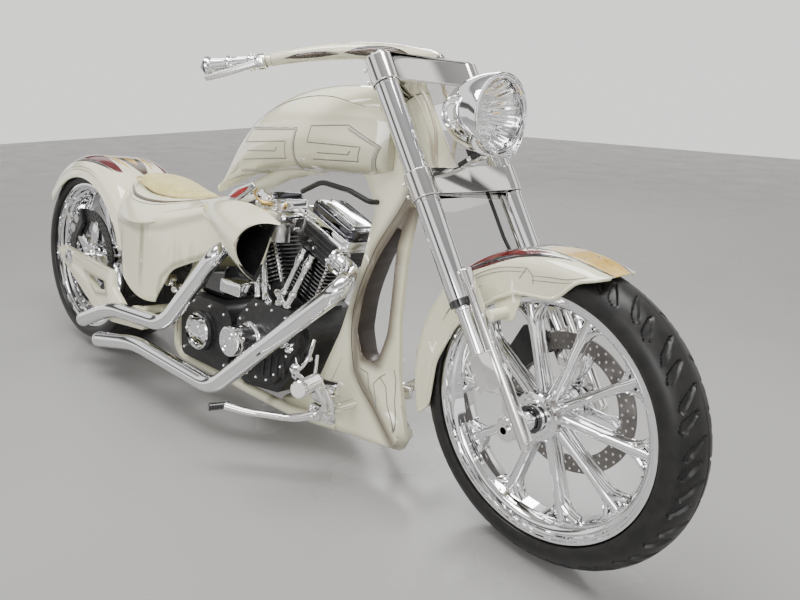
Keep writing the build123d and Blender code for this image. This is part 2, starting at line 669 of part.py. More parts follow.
def crankcase():
    case = from_side([(930, 150), (920, 330), (1010, 418), (1190, 418), (1262, 350), (1206, 240), (1136, 144), (980, 124)],
                     [40, 50, 60, 60, 40, 50, 20, 30], -case_half, 104)
    decks = [cylinder_frame(tilt) * Pos(0, 0, 100) * Box(112, 130, 130) for tilt in tilts]
    cover = from_side([(960, 190), (950, 330), (1020, cam_top), (1180, cam_top),
                       (1236, 330), (1190, 240), (1130, 170), (1020, 158)],
                      [30, 40, 30, 30, 40, 40, 30, 30], -cam_side, 1 - case_half)
    return joined([case, cover] + decks)


def cylinders():
    """Finned barrels and heads: fins as plates round each bore."""
    pieces = []
    for tilt in tilts:
        core = Pos(0, 0, 165 + seat_gap) * extrude(Circle(50), rocker_start - 165 - 2 * seat_gap)
        fins = [Pos(0, 0, height) * extrude(RectangleRounded(2 * cylinder_side, 2 * cylinder_side + 10, 26), 4)
                for height in range(186, 310, 12)]
        head = Pos(0, 0, head_start) * extrude(RectangleRounded(150, 160, 20), rocker_start - head_start - seat_gap)
        pieces.append(cylinder_frame(tilt) * joined([core, head] + fins))
    return pieces


def rocker_boxes():
    pieces = []
    for tilt in tilts:
        base = Pos(0, 0, rocker_start) * extrude(RectangleRounded(200, 150, 26), 30)
        top = Pos(0, 0, rocker_start + 29) * extrude(RectangleRounded(184, 128, 30), rocker_end - rocker_start - 29)
        pieces.append(cylinder_frame(tilt) * chamfer((base + top).faces().sort_by(Axis.Z)[-1].edges(), 10))
    return pieces


def pushrod_tubes():
    """Two chrome tubes for each cylinder, leaning from the cam cover to the head."""
    pieces = []
    for tilt in tilts:
        for offset in (-18, 18):
            foot = Vector(crank[0] + tilt * 2 + offset, 9 - cam_side, cam_top - 6)
            top = Vector(*on_cylinder(tilt, head_start + 8, offset - tilt * 0.6, -82))
            run = (top - foot).normalized()
            tube = rod(foot, top, 8) + rod(foot, foot + run * 58, 10) + rod(top - run * 52, top, 10)
            tube -= cylinder_frame(tilt) * Pos(0, 0, head_start - seat_gap + 50) * Box(400, 300, 100)
            pieces.append(tube - Pos(crank[0], 0, cam_top + seat_gap - 50) * Box(400, 300, 100))
    return pieces


def timing_can():
    """Round chrome can on the cam cover, its flat end out to the right."""
    start = -cam_side - seat_gap
    place = Pos(crank[0] - 70, start, crank[1] + 8)
    return place * (extrude(Plane.XZ * Circle(50), 12) + extrude(Plane.XZ * Circle(45), 86))


def carburettor():
    x = crank[0]
    throat = rod((x, -20, 652), (x, -132, 652), 26)
    bowl = Pos(x, -96, 612) * Cylinder(28, 44)
    manifold = rod((x - 55, -20, 630), (x + 55, -20, 630), 18)
    return joined([throat, bowl, manifold])


def air_scoop():
    """Horn over the carburettor: almond sections, and a mouth hollowed into two pointed lips."""
    # x, side, height, half height, half width
    stations = [(812, -152, 640, 14, 8), (900, -176, 636, 46, 30), (1000, -192, 624, 70, 48), (1100, -200, 596, 99, 58),
                (1180, -204, 584, 96, 58), (1250, -204, 573, 72, 50)]

    def horn(table, wall):
        sections = []
        for x, y, z, high, wide in table:
            face = make_face([ThreePointArc((0, -high + 2 * wall), (wide - wall, 0), (0, high - 2 * wall)).edge(),
                              ThreePointArc((0, high - 2 * wall), (wall - wide, 0), (0, -high + 2 * wall)).edge()])
            sections.append(Plane(origin=(x, y, z), x_dir=(0, 1, 0), z_dir=(1, 0, 0)) * face)
        return loft(sections)

    mouth = Pos(1212, 0, 558) * extrude(Plane.XZ * Circle(100), 400)
    neck = Pos(crank[0], -132 - seat_gap, 652) * extrude(Plane.XZ * (Circle(26) - Circle(20)), 32)
    return horn(stations, 0) - horn(stations[1:], scoop_wall) - mouth + neck


def exhaust_pipes():
    """Two swept pipes on the right, each with a turned-out tip."""
    port = 350
    front = [on_cylinder(cylinder_tilt, port, 75 + seat_gap, -66), on_cylinder(cylinder_tilt, port, 130, -66),
             (1412, -146, 528), (985, -214, 138), (560, -224, 160), (310, -228, 106)]
    rear = [on_cylinder(-cylinder_tilt, port, -75 - seat_gap, -64), on_cylinder(-cylinder_tilt, port, -106, -64),
            (892, -158, 520), (716, -217, 262), (400, -225, 242), (190, -228, 150)]
    pieces = []
    for route, bends in ((front, [36, 36, 120, 500]), (rear, [20, 40, 110, 400])):
        pipe = bent_tube(route, pipe_radius, bends)
        tip, before = Vector(*route[-1]), Vector(*route[-2])
        bore = rod(tip, tip + (before - tip).normalized() * 60, pipe_radius - 2.5)
        pieces.append(pipe - bore)
    return pieces


def gearbox():
    box = from_side([(640, 130), (630, 300), (680, gearbox_top), (880, gearbox_top), (910, 300), (900, 130)],
                    [30, 30, 40, 40, 20, 20], -104, 96)
    cover = Pos(760, -104, 240) * extrude(Plane.XZ * Circle(66), 16)
    shaft = extrude(Plane.XZ * Circle(output[2]), belt_side + belt_width - 95)
    shaft = Pos(output[0], belt_side + belt_width, output[1]) * shaft
    return box + cover + shaft


def oil_tank():
    """Tank seated on the gearbox, in the arch of the side panels."""
    low = gearbox_top + seat_gap
    return tapered([(690, 74, low, low + 92, 26), (820, 74, low, low + 112, 26)])


def primary_cover():
    """Long chrome cover over the primary drive, on the left."""
    cover = from_side([(650, 240), (660, 340), (1200, 392), (1226, 280), (1160, 170), (760, 170)],
                      [60, 60, 80, 80, 60, 60], primary_side, primary_outer)
    neck = from_side([(1000, 190), (1000, 372), (1190, 390), (1212, 280), (1150, 180)],
                     [20, 20, 70, 70, 40], 104 + seat_gap, primary_side + 1)
    return cover + neck


def drive_belt():
    """Belt from the gearbox to the wheel as one fixed loop."""
    def loop(outwards):
        wheel_end = Pos(0, rear_axle_height) * Circle(pulley_radius + outwards)
        gearbox_end = Pos(output[0], output[1]) * Circle(output[2] + outwards)
        return make_hull([*wheel_end.edges(), *gearbox_end.edges()])
    band = loop(seat_gap + belt_depth) - loop(seat_gap)
    return Pos(0, belt_side + belt_width, 0) * extrude(Plane.XZ * band, belt_width)


def foot_controls():
    """Forward peg, curved arm and pedal on each side, on a bracket from the frame."""
    x, z = wheelbase - 560, 186
    pieces = []
    for side in (-1, 1):
        bracket = rod((x, side * (blade_half + seat_gap), z), (x, side * 175, z), 14)
        arm = bent_tube([(x, side * 168, z), (x - 80, side * 205, z - 30), (x - 170, side * 262, z - 32),
                         (x - 220, side * 300, z - 22)], 9, [50, 60])
        riser = bent_tube([(x, side * 170, z), (x + 50, side * 190, z + 40), (x + 40, side * 220, z + 100)], 10, [30])
        peg = rod((x + 20, side * 205, z + 106), (x + 70, side * 310, z + 120), 17)
        toe = rod((x - 220, side * 290, z - 22), (x - 240, side * 336, z - 24), 8)
        pieces.append(joined([bracket, arm, riser, peg, toe]))
    return pieces


def breather_hose():
    return bent_tube([(1130, -52, 736), (1220, -66, 772), (wheelbase - 620, -68, 762),
                      (wheelbase - 550, -66, 742), (wheelbase - 546, -blade_half - 1.2, 742)], 7, [90, 90, 14])


def brake_hose():
    """Hose from the lower tree down beside the fender to the caliper."""
    def at(lead, side, up):
        return (fork * Pos(lead, side, up)).position
    return bent_tube([at(30, 97, tree_low - seat_gap), at(30, 97, 420), at(45, 97, 300), at(45, 92, 203)], 4.5, [60, 60])


def tail_lamp():
    strip = Rot(0, 0, -140) * revolve(Plane.XZ * (Pos(rear_fender_radius + 3.2, 0) * Rectangle(6, 104)), Axis.Z, 8)
    return rear_hub * strip


def stand_ends():
    """Pivot, foot on the floor, and the hinge axis across the leg."""
    pivot = Vector(*stand_pivot)
    foot = Vector(stand_foot[0], stand_foot[1], stand_foot[1] * tan(radians(lean)))
    leg_end = foot + Vector(0, 0, stand_radius)
    return pivot, foot, leg_end, Vector(1, 0, 0).cross(leg_end - pivot).normalized()


def side_stand():
    """Leg from the left rail out to a flat foot on the floor."""
    pivot, foot, leg_end, hinge = stand_ends()
    leg = rod(pivot, leg_end, stand_radius)
    pad = Pos(*foot) * Rot(lean, 0, 0) * extrude(RectangleRounded(60, 44, 12), 9)
    leg -= Pos(*foot) * Rot(lean, 0, 0) * Pos(0, 0, -60) * Box(200, 200, 120)
    bore = extrude(Circle(stand_pin + seat_gap), 60, both=True)
    boss = extrude(Circle(stand_swing_radius), stand_boss / 2, both=True)
    place = Plane(origin=pivot, z_dir=hinge)
    return joined([leg, pad]) - place * bore + place * (boss - bore)


def stand_bracket():
    """Fork ears and pin that carry the stand on the left rail."""
    pivot, foot, leg_end, hinge = stand_ends()
    place = Plane(origin=pivot, x_dir=(1, 0, 0), z_dir=hinge)
    inside = stand_boss / 2 + 0.5
    pin = place * extrude(Circle(stand_pin), inside + 6, both=True)
    ears = [place * Pos(0, -14.5, low) * extrude(RectangleRounded(34, 59, 8), 6) for low in (inside, -inside - 6)]
    beside = case_half + 13
    gusset = Pos(pivot.X - 17, 0, 0) * extrude(Plane.YZ * make_face(Polyline(
        (rail_spread - 4, rail_height - 14), (rail_spread - 4, rail_height + 18), (beside, rail_height + 21),
        (beside, rail_height + 52), (beside + 14, rail_height + 52), (beside + 14, rail_height + 4),
        (beside - 6, rail_height - 14), close=True)), 34)
    return joined([pin, gusset] + ears)


chassis = {
    "frame": lambda: [frame() + stand_bracket()],
    "fuel_tank": lambda: [fuel_tank()],
    "tail_body": lambda: [tail_body()],
    "seat_pad": lambda: [seat_pad()],
    "rear_fender": lambda: [rear_fender()],
    "swingarm": lambda: [swingarm()],
    "rear_axle": lambda: [rear_axle_bar()],
    "crankcase": lambda: [crankcase()],
    "cylinders": cylinders,
    "rocker_boxes": rocker_boxes,
    "pushrod_tubes": pushrod_tubes,
    "timing_can": lambda: [timing_can()],
    "carburettor": lambda: [carburettor()],
    "air_scoop": lambda: [air_scoop()],
    "exhaust_pipes": exhaust_pipes,
    "gearbox": lambda: [gearbox()],
    "oil_tank": lambda: [oil_tank()],
    "primary_cover": lambda: [primary_cover()],
    "drive_belt": lambda: [drive_belt()],
    "foot_controls": foot_controls,
    "rear_caliper": lambda: [rear_caliper()],
    "breather_hose": lambda: [breather_hose()],
    "tail_lamp": lambda: [tail_lamp()],
    "rear_tyre": lambda: [rear_hub * tyre(rear_tyre_radius, rear_tyre_half, rear_crown, rear_flange,
                                          rear_rim_half)],
    "rear_rim": lambda: [rear_hub * rear_rim()],
    "rear_disc": lambda: [rear_hub * rear_disc()],
    "rear_pulley": lambda: [rear_hub * rear_pulley()],
    "side_stand": lambda: [side_stand()],
}

front_end = {
    "top_tree": lambda: [top_tree()],
    "bottom_tree": lambda: [bottom_tree() + lamp_bracket()],
    "fork_tubes": fork_tubes,
    "fork_sliders": fork_sliders,
    "fork_legs": fork_legs,
    "front_axle": lambda: [front_axle_bar()],
    "handlebar": lambda: [handlebar()],
    "grips": grips,
    "levers": levers,
    "headlamp_shell": lambda: [headlamp_shell()],
    "headlamp_lens": lambda: [headlamp_lens()],
    "front_fender": lambda: [front_fender()],
    "front_caliper": lambda: [front_caliper()],
    "brake_hose": lambda: [brake_hose()],
    "front_tyre": lambda: [front_hub * tyre(front_tyre_radius, front_tyre_half, front_crown, front_flange,
                                            front_rim_half)],
    "front_rim": lambda: [front_hub * front_rim()],
    "front_disc": lambda: [front_hub * front_disc()],
}

leaning = Rot(-lean, 0, 0)


def parked(pieces, turns):
    """One compound of the pieces as they stand when the bike is parked."""
    solids = []
    for piece in pieces:
        for solid in piece.solids():
            if turns:
                solid = solid.rotate(steering_axis, bar_turn)
            solids.append(leaning * solid)
    return Compound(solids)


def main():
    nodes = {}
    for group, turns in ((chassis, False), (front_end, True)):
        for name, make in group.items():
            nodes[name] = parked(make(), turns)
    box = Compound(list(nodes.values())).bounding_box()
    shift = Pos(-(box.min.X + box.max.X) / 2, -(box.min.Y + box.max.Y) / 2, -box.min.Z)
    os.makedirs("parts", exist_ok=True)
    for name, compound in nodes.items():
        export_step(shift * compound, f"parts/{name}.step")
    print("origin shift", shift.position, "size", box.size)


if __name__ == "__main__":
    main()
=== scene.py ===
import json
import math

import bmesh
import bpy
from mathutils import Matrix, Vector
from mathutils.bvhtree import BVHTree


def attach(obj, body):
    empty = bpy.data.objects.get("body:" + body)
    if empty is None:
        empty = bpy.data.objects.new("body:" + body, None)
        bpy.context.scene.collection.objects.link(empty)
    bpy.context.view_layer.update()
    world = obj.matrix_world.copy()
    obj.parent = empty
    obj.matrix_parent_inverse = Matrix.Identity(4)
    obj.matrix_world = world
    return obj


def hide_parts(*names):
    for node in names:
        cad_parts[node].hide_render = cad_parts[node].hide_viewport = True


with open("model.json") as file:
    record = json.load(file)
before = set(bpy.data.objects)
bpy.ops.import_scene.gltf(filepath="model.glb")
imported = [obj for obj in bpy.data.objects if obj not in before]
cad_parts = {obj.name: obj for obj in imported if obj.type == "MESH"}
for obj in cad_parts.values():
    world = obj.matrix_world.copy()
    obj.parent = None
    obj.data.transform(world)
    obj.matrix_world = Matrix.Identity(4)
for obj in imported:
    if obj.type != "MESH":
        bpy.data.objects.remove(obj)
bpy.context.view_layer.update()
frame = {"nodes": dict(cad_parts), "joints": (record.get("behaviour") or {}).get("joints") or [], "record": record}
nodes = frame["nodes"]
joints = {joint["name"]: joint for joint in frame["joints"]}
bodyOf = {name: body for body, names in frame["record"]["behaviour"]["bodies"].items() for name in names}
alongX, alongY, alongZ = Vector((1, 0, 0)), Vector((0, 1, 0)), Vector((0, 0, 1))

# how the motorcycle stands; the lean axis runs along the floor under both wheels
stance = {"lean": 8.6, "rake": 32.4}
rearAxle = Vector(joints["rear_wheel_spin"]["pos_m"])
lean = math.radians(stance["lean"])
leanLine = Vector((rearAxle.x, rearAxle.y - rearAxle.z * math.tan(lean), 0))
# upright bike with straight bars (x forward from the rear axle, y left, z up) to the row frame
bikeSpace = Matrix.Translation(leanLine) @ Matrix.Rotation(-lean, 4, "X")
frontAxle = Vector(joints["front_wheel_spin"]["pos_m"])
wheelLeft = Vector(joints["front_wheel_spin"]["axis"])
upFork = Vector(joints["steering_turn"]["axis"])
steerFoot = Vector(joints["steering_turn"]["pos_m"])


def basis(origin, xWay, zWay):
    # a place with its Z along zWay and its X as near xWay as it can be
    z = zWay.normalized()
    y = z.cross(xWay).normalized()
    x = y.cross(z)
    return Matrix.Translation(origin) @ Matrix((x, y, z)).transposed().to_4x4()


def moved(x, y, z):
    return Matrix.Translation((x, y, z))


def onSide(x, y, z, side=-1):
    # a place on a flat face that looks to one side of the bike
    return basis((x, y, z), alongX, alongY * side)


def onHub(x, z, side):
    # a place on a wheel's flat face that looks along the axle
    return basis((x, 0, z), alongX, alongZ * side)


# stands an outline up: its X ahead, its Y up, its thickness to the right
standing = Matrix.Rotation(math.radians(90), 4, "X")
forkSpace = basis(steerFoot, wheelLeft.cross(upFork), upFork)  # x ahead of the steering axis, y left, z up it
rake = math.radians(stance["rake"])
frontHub = basis(frontAxle, forkSpace.to_3x3() @ Vector((math.cos(rake), 0, -math.sin(rake))), wheelLeft)
rearHub = basis(rearAxle, alongX, Vector(joints["rear_wheel_spin"]["axis"]))


def oblong(halfX, halfY):
    return [(-halfX, -halfY), (halfX, -halfY), (halfX, halfY), (-halfX, halfY)]


def mirrored(half):
    # an outline closed by its own mirror image across y = 0
    return half + [(x, -y) for x, y in reversed(half) if y]


def bothWays(lines):
    # painted lines and their mirror images across v = 0
    return [([(u, side * v) for u, v in points], widths, finish)
            for side in (1, -1) for points, widths, finish in lines]


def levelEdges(verts, level=True):
    # the edges that lie level, or else the upright ones
    edges = {edge for vert in verts for edge in vert.link_edges}
    return [edge for edge in edges if (abs(edge.verts[0].co.z - edge.verts[1].co.z) < 0.01) == level]


def operator(operation, first=False):
    # a method that puts one Math node after a number; first sets the other number ahead of it
    def method(self, other=0):
        pair = [other, self] if first else [self, other]
        return self.paint.node("ShaderNodeMath", {"operation": operation}, dict(enumerate(pair)))
    return method


class Value:
    # one number in a material's node tree; arithmetic on it adds Math nodes
    def __init__(self, paint, socket):
        self.paint, self.socket = paint, socket

    __add__ = __radd__ = operator("ADD")
    __mul__ = __rmul__ = operator("MULTIPLY")
    __sub__ = operator("SUBTRACT")
    __rsub__ = operator("SUBTRACT", True)
    __truediv__ = operator("DIVIDE")
    __pow__ = operator("POWER")
    least = operator("MINIMUM")
    most = operator("MAXIMUM")
    wave = operator("SINE")

    def ramp(self, low, high):
        # 0 at low, 1 at high, smooth between them
        settings = {"interpolation_type": "SMOOTHSTEP"}
        return self.paint.node("ShaderNodeMapRange", settings, {0: self, 1: low, 2: high, 3: 0, 4: 1})


class Paint:
    # a material, with its Principled shader and a short way to add nodes
    def __init__(self, name, color, roughness, metallic=0.0, **more):
        self.material = bpy.data.materials.new(name)
        self.material.use_nodes = True
        self.tree = self.material.node_tree
        self.shader = self.tree.nodes["Principled BSDF"]
        self.set("Base Color", color)
        self.set("Roughness", roughness)
        self.set("Metallic", metallic)
        for socket, value in more.items():
            self.set(socket.replace("_", " "), value)
        self.coordinates = self.node("ShaderNodeTexCoord", output="Object")

    def put(self, socket, value):
        # a link, a colour or a plain number into a socket
        if isinstance(value, Value):
            self.tree.links.new(value.socket, socket)
        elif socket.type == "RGBA":
            socket.default_value = (*value[:3], 1)
        else:
            socket.default_value = value

    def set(self, socketName, value):
        self.put(self.shader.inputs[socketName], value)

    def node(self, kind, settings=None, inputs=None, output=0):
        made = self.tree.nodes.new(kind)
        for key, value in (settings or {}).items():
            setattr(made, key, value)
        for key, value in (inputs or {}).items():
            self.put(made.inputs[key], value)
        return Value(self, made.outputs[output])

    def place(self, space):
        # the three object coordinates, in metres, in the given space
        inverse = space.inverted()
        inputs = {"Vector": self.coordinates, "Location": inverse.translation, "Rotation": inverse.to_euler()}
        turned = self.node("ShaderNodeMapping", {"vector_type": "POINT"}, inputs)
        split = self.node("ShaderNodeSeparateXYZ", inputs={0: turned})
        return [Value(self, split.socket.node.outputs[axis]) for axis in range(3)]

    def noise(self, scale, detail=3.0, roughness=0.5):
        inputs = {"Vector": self.coordinates, "Scale": scale, "Detail": detail, "Roughness": roughness}
        return self.node("ShaderNodeTexNoise", inputs=inputs)

    def mix(self, factor, first, second):
        made = self.node("ShaderNodeMix", {"data_type": "RGBA"}, {"Factor": factor})
        mixer = made.socket.node
        self.put(mixer.inputs[6], first)
        self.put(mixer.inputs[7], second)
        return Value(self, mixer.outputs[2])

    def bump(self, height, distance, strength=1.0):
        inputs = {"Height": height, "Distance": distance, "Strength": strength}
        self.set("Normal", self.node("ShaderNodeBump", inputs=inputs))


def smoothLine(points, steps):
    # a smooth line through points of any number of numbers, with steps between neighbours
    points = [Vector(point) for point in points]
    ends = [points[0] * 2 - points[1]] + points + [points[-1] * 2 - points[-2]]
    line = []
    for before, start, end, after in zip(ends, ends[1:], ends[2:], ends[3:]):
        for step in range(steps):
            t = step / steps
            line.append(start * 0.5 * (2 - 5 * t * t + 3 * t ** 3) + end * 0.5 * (t + 4 * t * t - 3 * t ** 3)
                        + before * 0.5 * (2 * t * t - t - t ** 3) + after * 0.5 * (t ** 3 - t * t))
    return line + [points[-1]]


def sideOf(way):
    # an axis that is well away from the way given
    return alongZ if abs(way.normalized().z) < 0.9 else alongX


def between(start, end):
    # a place at the middle of two points, Z along the run from one to the other
    start, end = Vector(start), Vector(end)
    run = end - start
    return basis((start + end) / 2, sideOf(run), run)


# a cap screw's top, socket wall and socket depth, as shares of its radius, radius and height
screw = {"top": 0.9, "wall": 0.45, "socket": 0.45}


class Shape:
    # a piece modelled in millimetres from turned, swept and cut bits
    def __init__(self):
        self.whole, self.made = bmesh.new(), bmesh.new()
        self.finish = 0

    def begin(self):
        # the last bit joins the whole before a new one starts
        if len(self.made.verts):
            bit = bpy.data.meshes.new("bit")
            self.made.to_mesh(bit)
            self.whole.from_mesh(bit)
            bpy.data.meshes.remove(bit)
            self.made.clear()

    def fresh(self):
        return list(self.made.verts)

    def put(self, place=Matrix()):
        bmesh.ops.transform(self.made, matrix=place, verts=self.made.verts)
        for face in self.made.faces:
            face.material_index = self.finish

    def around(self, count, place=Matrix()):
        # copies of the last bit about the place's Z
        verts = self.fresh()
        edges = list({edge for vert in verts for edge in vert.link_edges})
        faces = list({face for vert in verts for face in vert.link_faces})
        bmesh.ops.spin(self.made, geom=verts + edges + faces, cent=place.translation,
                       axis=place.to_3x3() @ alongZ, use_duplicate=True,
                       angle=2 * math.pi * (count - 1) / count, steps=count - 1)

    def bevel(self, edges, size, segments=2):
        bmesh.ops.bevel(self.made, geom=edges, offset=size, offset_type="OFFSET", affect="EDGES",
                        segments=segments, profile=0.5, material=-1)

    def turned(self, profile, place=Matrix(), steps=96):
        # a line of (radius, along) spun about the place's Z
        self.begin()
        corners = [self.made.verts.new((radius, 0, along)) for radius, along in profile]
        edges = [self.made.edges.new(pair) for pair in zip(corners, corners[1:])]
        bmesh.ops.spin(self.made, geom=corners + edges, cent=(0, 0, 0), axis=(0, 0, 1), angle=2 * math.pi,
                       steps=steps, use_merge=True)
        bmesh.ops.remove_doubles(self.made, verts=self.fresh(), dist=0.002)
        self.put(place)

    def rod(self, start, end, radius, sides=20, tip=None, edge=0):
        self.begin()
        run = (Vector(end) - Vector(start)).length
        bmesh.ops.create_cone(self.made, cap_ends=True, segments=sides, radius1=radius,
                              radius2=radius if tip is None else tip, depth=run)
        if edge:
            self.bevel(levelEdges(self.fresh()), edge)
        self.put(between(start, end))

    def ball(self, centre, radius, sides=20):
        self.begin()
        bmesh.ops.create_uvsphere(self.made, u_segments=sides, v_segments=sides // 2 + 2, radius=radius)
        self.put(Matrix.Translation(centre))

    def tube(self, points, radius, sides=14, steps=6):
        # a pipe along a smooth line; each point may carry its own radius as a fourth number
        self.begin()
        line = smoothLine([(*point[:3], point[3] if len(point) > 3 else radius) for point in points], steps)
        spots = [Vector(spot[:3]) for spot in line]
        pairs = zip(spots[:1] + spots, spots[1:] + spots[-1:])
        ways = [(after - before).normalized() for before, after in pairs]
        ways[0] = (spots[1] - spots[0]).normalized()
        side = sideOf(ways[0])
        frames = []
        for spot, way, size in zip(spots, ways, line):
            place = basis(spot, side, way)
            side = place.to_3x3() @ alongX
            frames.append(place @ Matrix.Scale(size[3], 4))
        ring = bmesh.ops.create_circle(self.made, segments=sides, radius=1, matrix=frames[0])["verts"]
        edges = list({edge for vert in ring for edge in vert.link_edges})
        first = edges
        for before, after in zip(frames, frames[1:]):
            grown = bmesh.ops.extrude_edge_only(self.made, edges=edges)["geom"]
            ring = [bit for bit in grown if isinstance(bit, bmesh.types.BMVert)]
            edges = [bit for bit in grown if isinstance(bit, bmesh.types.BMEdge)]
            bmesh.ops.transform(self.made, matrix=after @ before.inverted(), verts=ring)
            edges = [edge for edge in edges if edge.verts[0] in ring and edge.verts[1] in ring]
        bmesh.ops.contextual_create(self.made, geom=first)
        bmesh.ops.contextual_create(self.made, geom=edges)
        self.put()

    def slab(self, corners, low, high, place=Matrix(), rounded=0, edge=0, segments=3):
        # an outline (x, y) given thickness, its upright edges rounded and its rims bevelled
        self.begin()
        face = self.made.faces.new([self.made.verts.new((x, y, low)) for x, y in corners])
        raised = bmesh.ops.extrude_face_region(self.made, geom=[face])["geom"]
        bmesh.ops.translate(self.made, verts=[bit for bit in raised if isinstance(bit, bmesh.types.BMVert)],
                            vec=(0, 0, high - low))
        if rounded:
            self.bevel(levelEdges(self.fresh(), False), rounded, segments + 1)
        if edge:
            self.bevel(levelEdges(self.fresh()), edge, segments)
        self.put(place)

    def bolt(self, place, radius, height, sides=12):
        # a cap screw with its socket, standing on the place
        self.begin()
        bmesh.ops.create_cone(self.made, cap_ends=True, segments=sides, depth=height, radius1=radius,
                              radius2=radius * screw["top"], matrix=moved(0, 0, height / 2))
        top = max(self.made.faces, key=lambda face: face.calc_center_median().z)
        bmesh.ops.inset_region(self.made, faces=[top], thickness=radius * screw["wall"])
        bmesh.ops.translate(self.made, verts=top.verts, vec=(0, 0, -height * screw["socket"]))
        self.put(place)

    def done(self, name, space, body, paints, replaces=(), angle=35):
        # the finished piece, set in the row frame and on its body
        self.begin()
        bmesh.ops.transform(self.whole, matrix=space @ Matrix.Scale(0.001, 4), verts=self.whole.verts)
        bmesh.ops.recalc_face_normals(self.whole, faces=self.whole.faces)
        return pieceFrom(self.whole, name, body, paints, replaces, angle)


def pieceFrom(made, name, body, paints, replaces=(), angle=35):
    # an object from a bmesh with the given paints, smooth up to the given angle, on its body
    mesh = bpy.data.meshes.new(name)
    made.to_mesh(mesh)
    made.free()
    for paint in paints:
        mesh.materials.append(paint.material)
    mesh.shade_smooth()
    mesh.set_sharp_from_angle(angle=math.radians(angle))
    thing = bpy.data.objects.new(name, mesh)
    bpy.context.scene.collection.objects.link(thing)
    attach(thing, body)
    if replaces:
        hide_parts(*replaces)
    return thing


def dressed(node, paints, edge, angle=38, chooser=None):
    # a copy of a CAD node with its hard edges rounded by edge millimetres
    # chooser picks the finish of a face by its middle and its normal
    made = bmesh.new()
    made.from_mesh(nodes[node].data)
    bmesh.ops.remove_doubles(made, verts=made.verts, dist=0.00002)
    bmesh.ops.dissolve_limit(made, angle_limit=math.radians(0.4), verts=made.verts, edges=made.edges)
    inside = bikeSpace.inverted()
    turn = inside.to_3x3()
    if chooser:
        for face in made.faces:
            face.material_index = chooser(inside @ face.calc_center_median() * 1000, turn @ face.normal)
    thing = pieceFrom(made, node + "_finished", bodyOf[node], paints, (node,), 80 if edge else angle)
    if edge:
        bevel = thing.modifiers.new("softEdges", "BEVEL")
        bevel.limit_method = "ANGLE"
        bevel.angle_limit = math.radians(angle)
        bevel.width = edge / 1000
        bevel.segments = 2
        bevel.use_clamp_overlap = False
        bevel.harden_normals = True
    return thing


# shade is the colour of the painted shade that creamPaint lays along creases, edges and holes
creamLook = {"light": (0.82, 0.80, 0.60), "deep": (0.76, 0.73, 0.52), "shade": (0.085, 0.06, 0.04),
             "gloss": 0.10}


def nearSegment(x, z, start, end):
    # how far a point (x, z) is from a straight line between two points
    (startX, startZ), (endX, endZ) = start, end
    runX, runZ = endX - startX, endZ - startZ
    length = runX * runX + runZ * runZ
    along = ((x - startX) * (runX / length) + (z - startZ) * (runZ / length)).least(1).most(0)
    return (((x - startX) - along * runX) ** 2 + ((z - startZ) - along * runZ) ** 2) ** 0.5


def creamPaint(name, space=None, shades=(), across=2):
    # ivory lacquer with faint mottling and orange peel
    # shades are lines of painted shade (points, width, depth) in x and the axis across, darkening the cream along
    # creases, edges, holes and undersides
    paint = Paint(name, creamLook["light"], creamLook["gloss"], Coat_Weight=1.0, Coat_Roughness=0.02)
    color = paint.mix(paint.noise(2.5), creamLook["deep"], creamLook["light"])
    if shades:
        place = paint.place(space)
        x, z = place[0] * 1000, place[across] * 1000
        dark = None
        for points, width, depth in shades:
            reach = None
            for start, end in zip(points, points[1:]):
                far = nearSegment(x, z, start, end)
                reach = far if reach is None else reach.least(far)
            mask = (1 - reach.ramp(0, width)) * depth
            dark = mask if dark is None else dark.most(mask)
        # mixes the painted shade into the cream towards the shade colour
        color = paint.mix(dark, color, creamLook["shade"])
    paint.set("Base Color", color)
    paint.bump(paint.noise(240.0), 0.0001, 0.10)
    return paint


def brightMetal(name, color, roughness, smear=0.05, grain=90.0):
    # plated or polished metal with faint polishing marks
    paint = Paint(name, color, roughness, 1.0)
    paint.set("Roughness", paint.noise(grain, 6.0) * smear + (roughness - smear * 0.4))
    paint.bump(paint.noise(16.0), 0.0008, 0.05)
    return paint


def grained(name, first, second, roughness, scale, bumpDepth, **more):
    # a finish with a colour variation and a fine raised grain
    paint = Paint(name, first, roughness, **more)
    broad = paint.noise(scale * 0.08, 4.0)
    paint.set("Base Color", paint.mix(broad.ramp(0.35, 0.65), first, second))
    paint.set("Roughness", broad * 0.12 + (roughness - 0.06))
    paint.bump(paint.noise(scale, 5.0, 0.6), bumpDepth, 0.6)
    return paint


def lacquer(name, first, second, roughness, coat=0.02):
    # an even glossy colour that varies a little from place to place
    paint = Paint(name, first, roughness, Coat_Weight=1.0, Coat_Roughness=coat)
    paint.set("Base Color", paint.mix(paint.noise(60.0).ramp(0.35, 0.7), first, second))
    return paint


ridgeLine = [(1468, 924), (1526, 840), (1494, 748), (1412, 612), (1360, 440), (1386, 280), (1540, 120)]
bladeTail = [(1306, 560), (1262, 380), (1190, 214), (1092, 112)]
cream = creamPaint("creamPaint")
# painted shade along the blade's ridge, round the teardrop hole, down its tail and in two fainter lines lower down
bladeCream = creamPaint("bladeCream", bikeSpace, [
    (ridgeLine, 34, 0.85), ([(1500, 736), (1466, 640), (1464, 400), (1444, 316), (1402, 320)], 34, 0.95),
    ([(1402, 320), (1372, 390), (1382, 500), (1420, 610), (1500, 736)], 32, 0.95), (bladeTail, 30, 0.6),
    ([(1092, 70), (1373, 92), (1540, 104)], 18, 0.35), ([(1372, 740), (1356, 560)], 26, 0.35)])
# painted shade along the tank's lower edge, at its front by the neck and at its rear
tankCream = creamPaint("tankCream", bikeSpace, [
    ([(700, 694), (850, 752), (1000, 782), (1200, 800), (1400, 812)], 22, 0.35),
    ([(1445, 830), (1452, 980)], 26, 0.5), ([(690, 706), (780, 812)], 16, 0.3)])
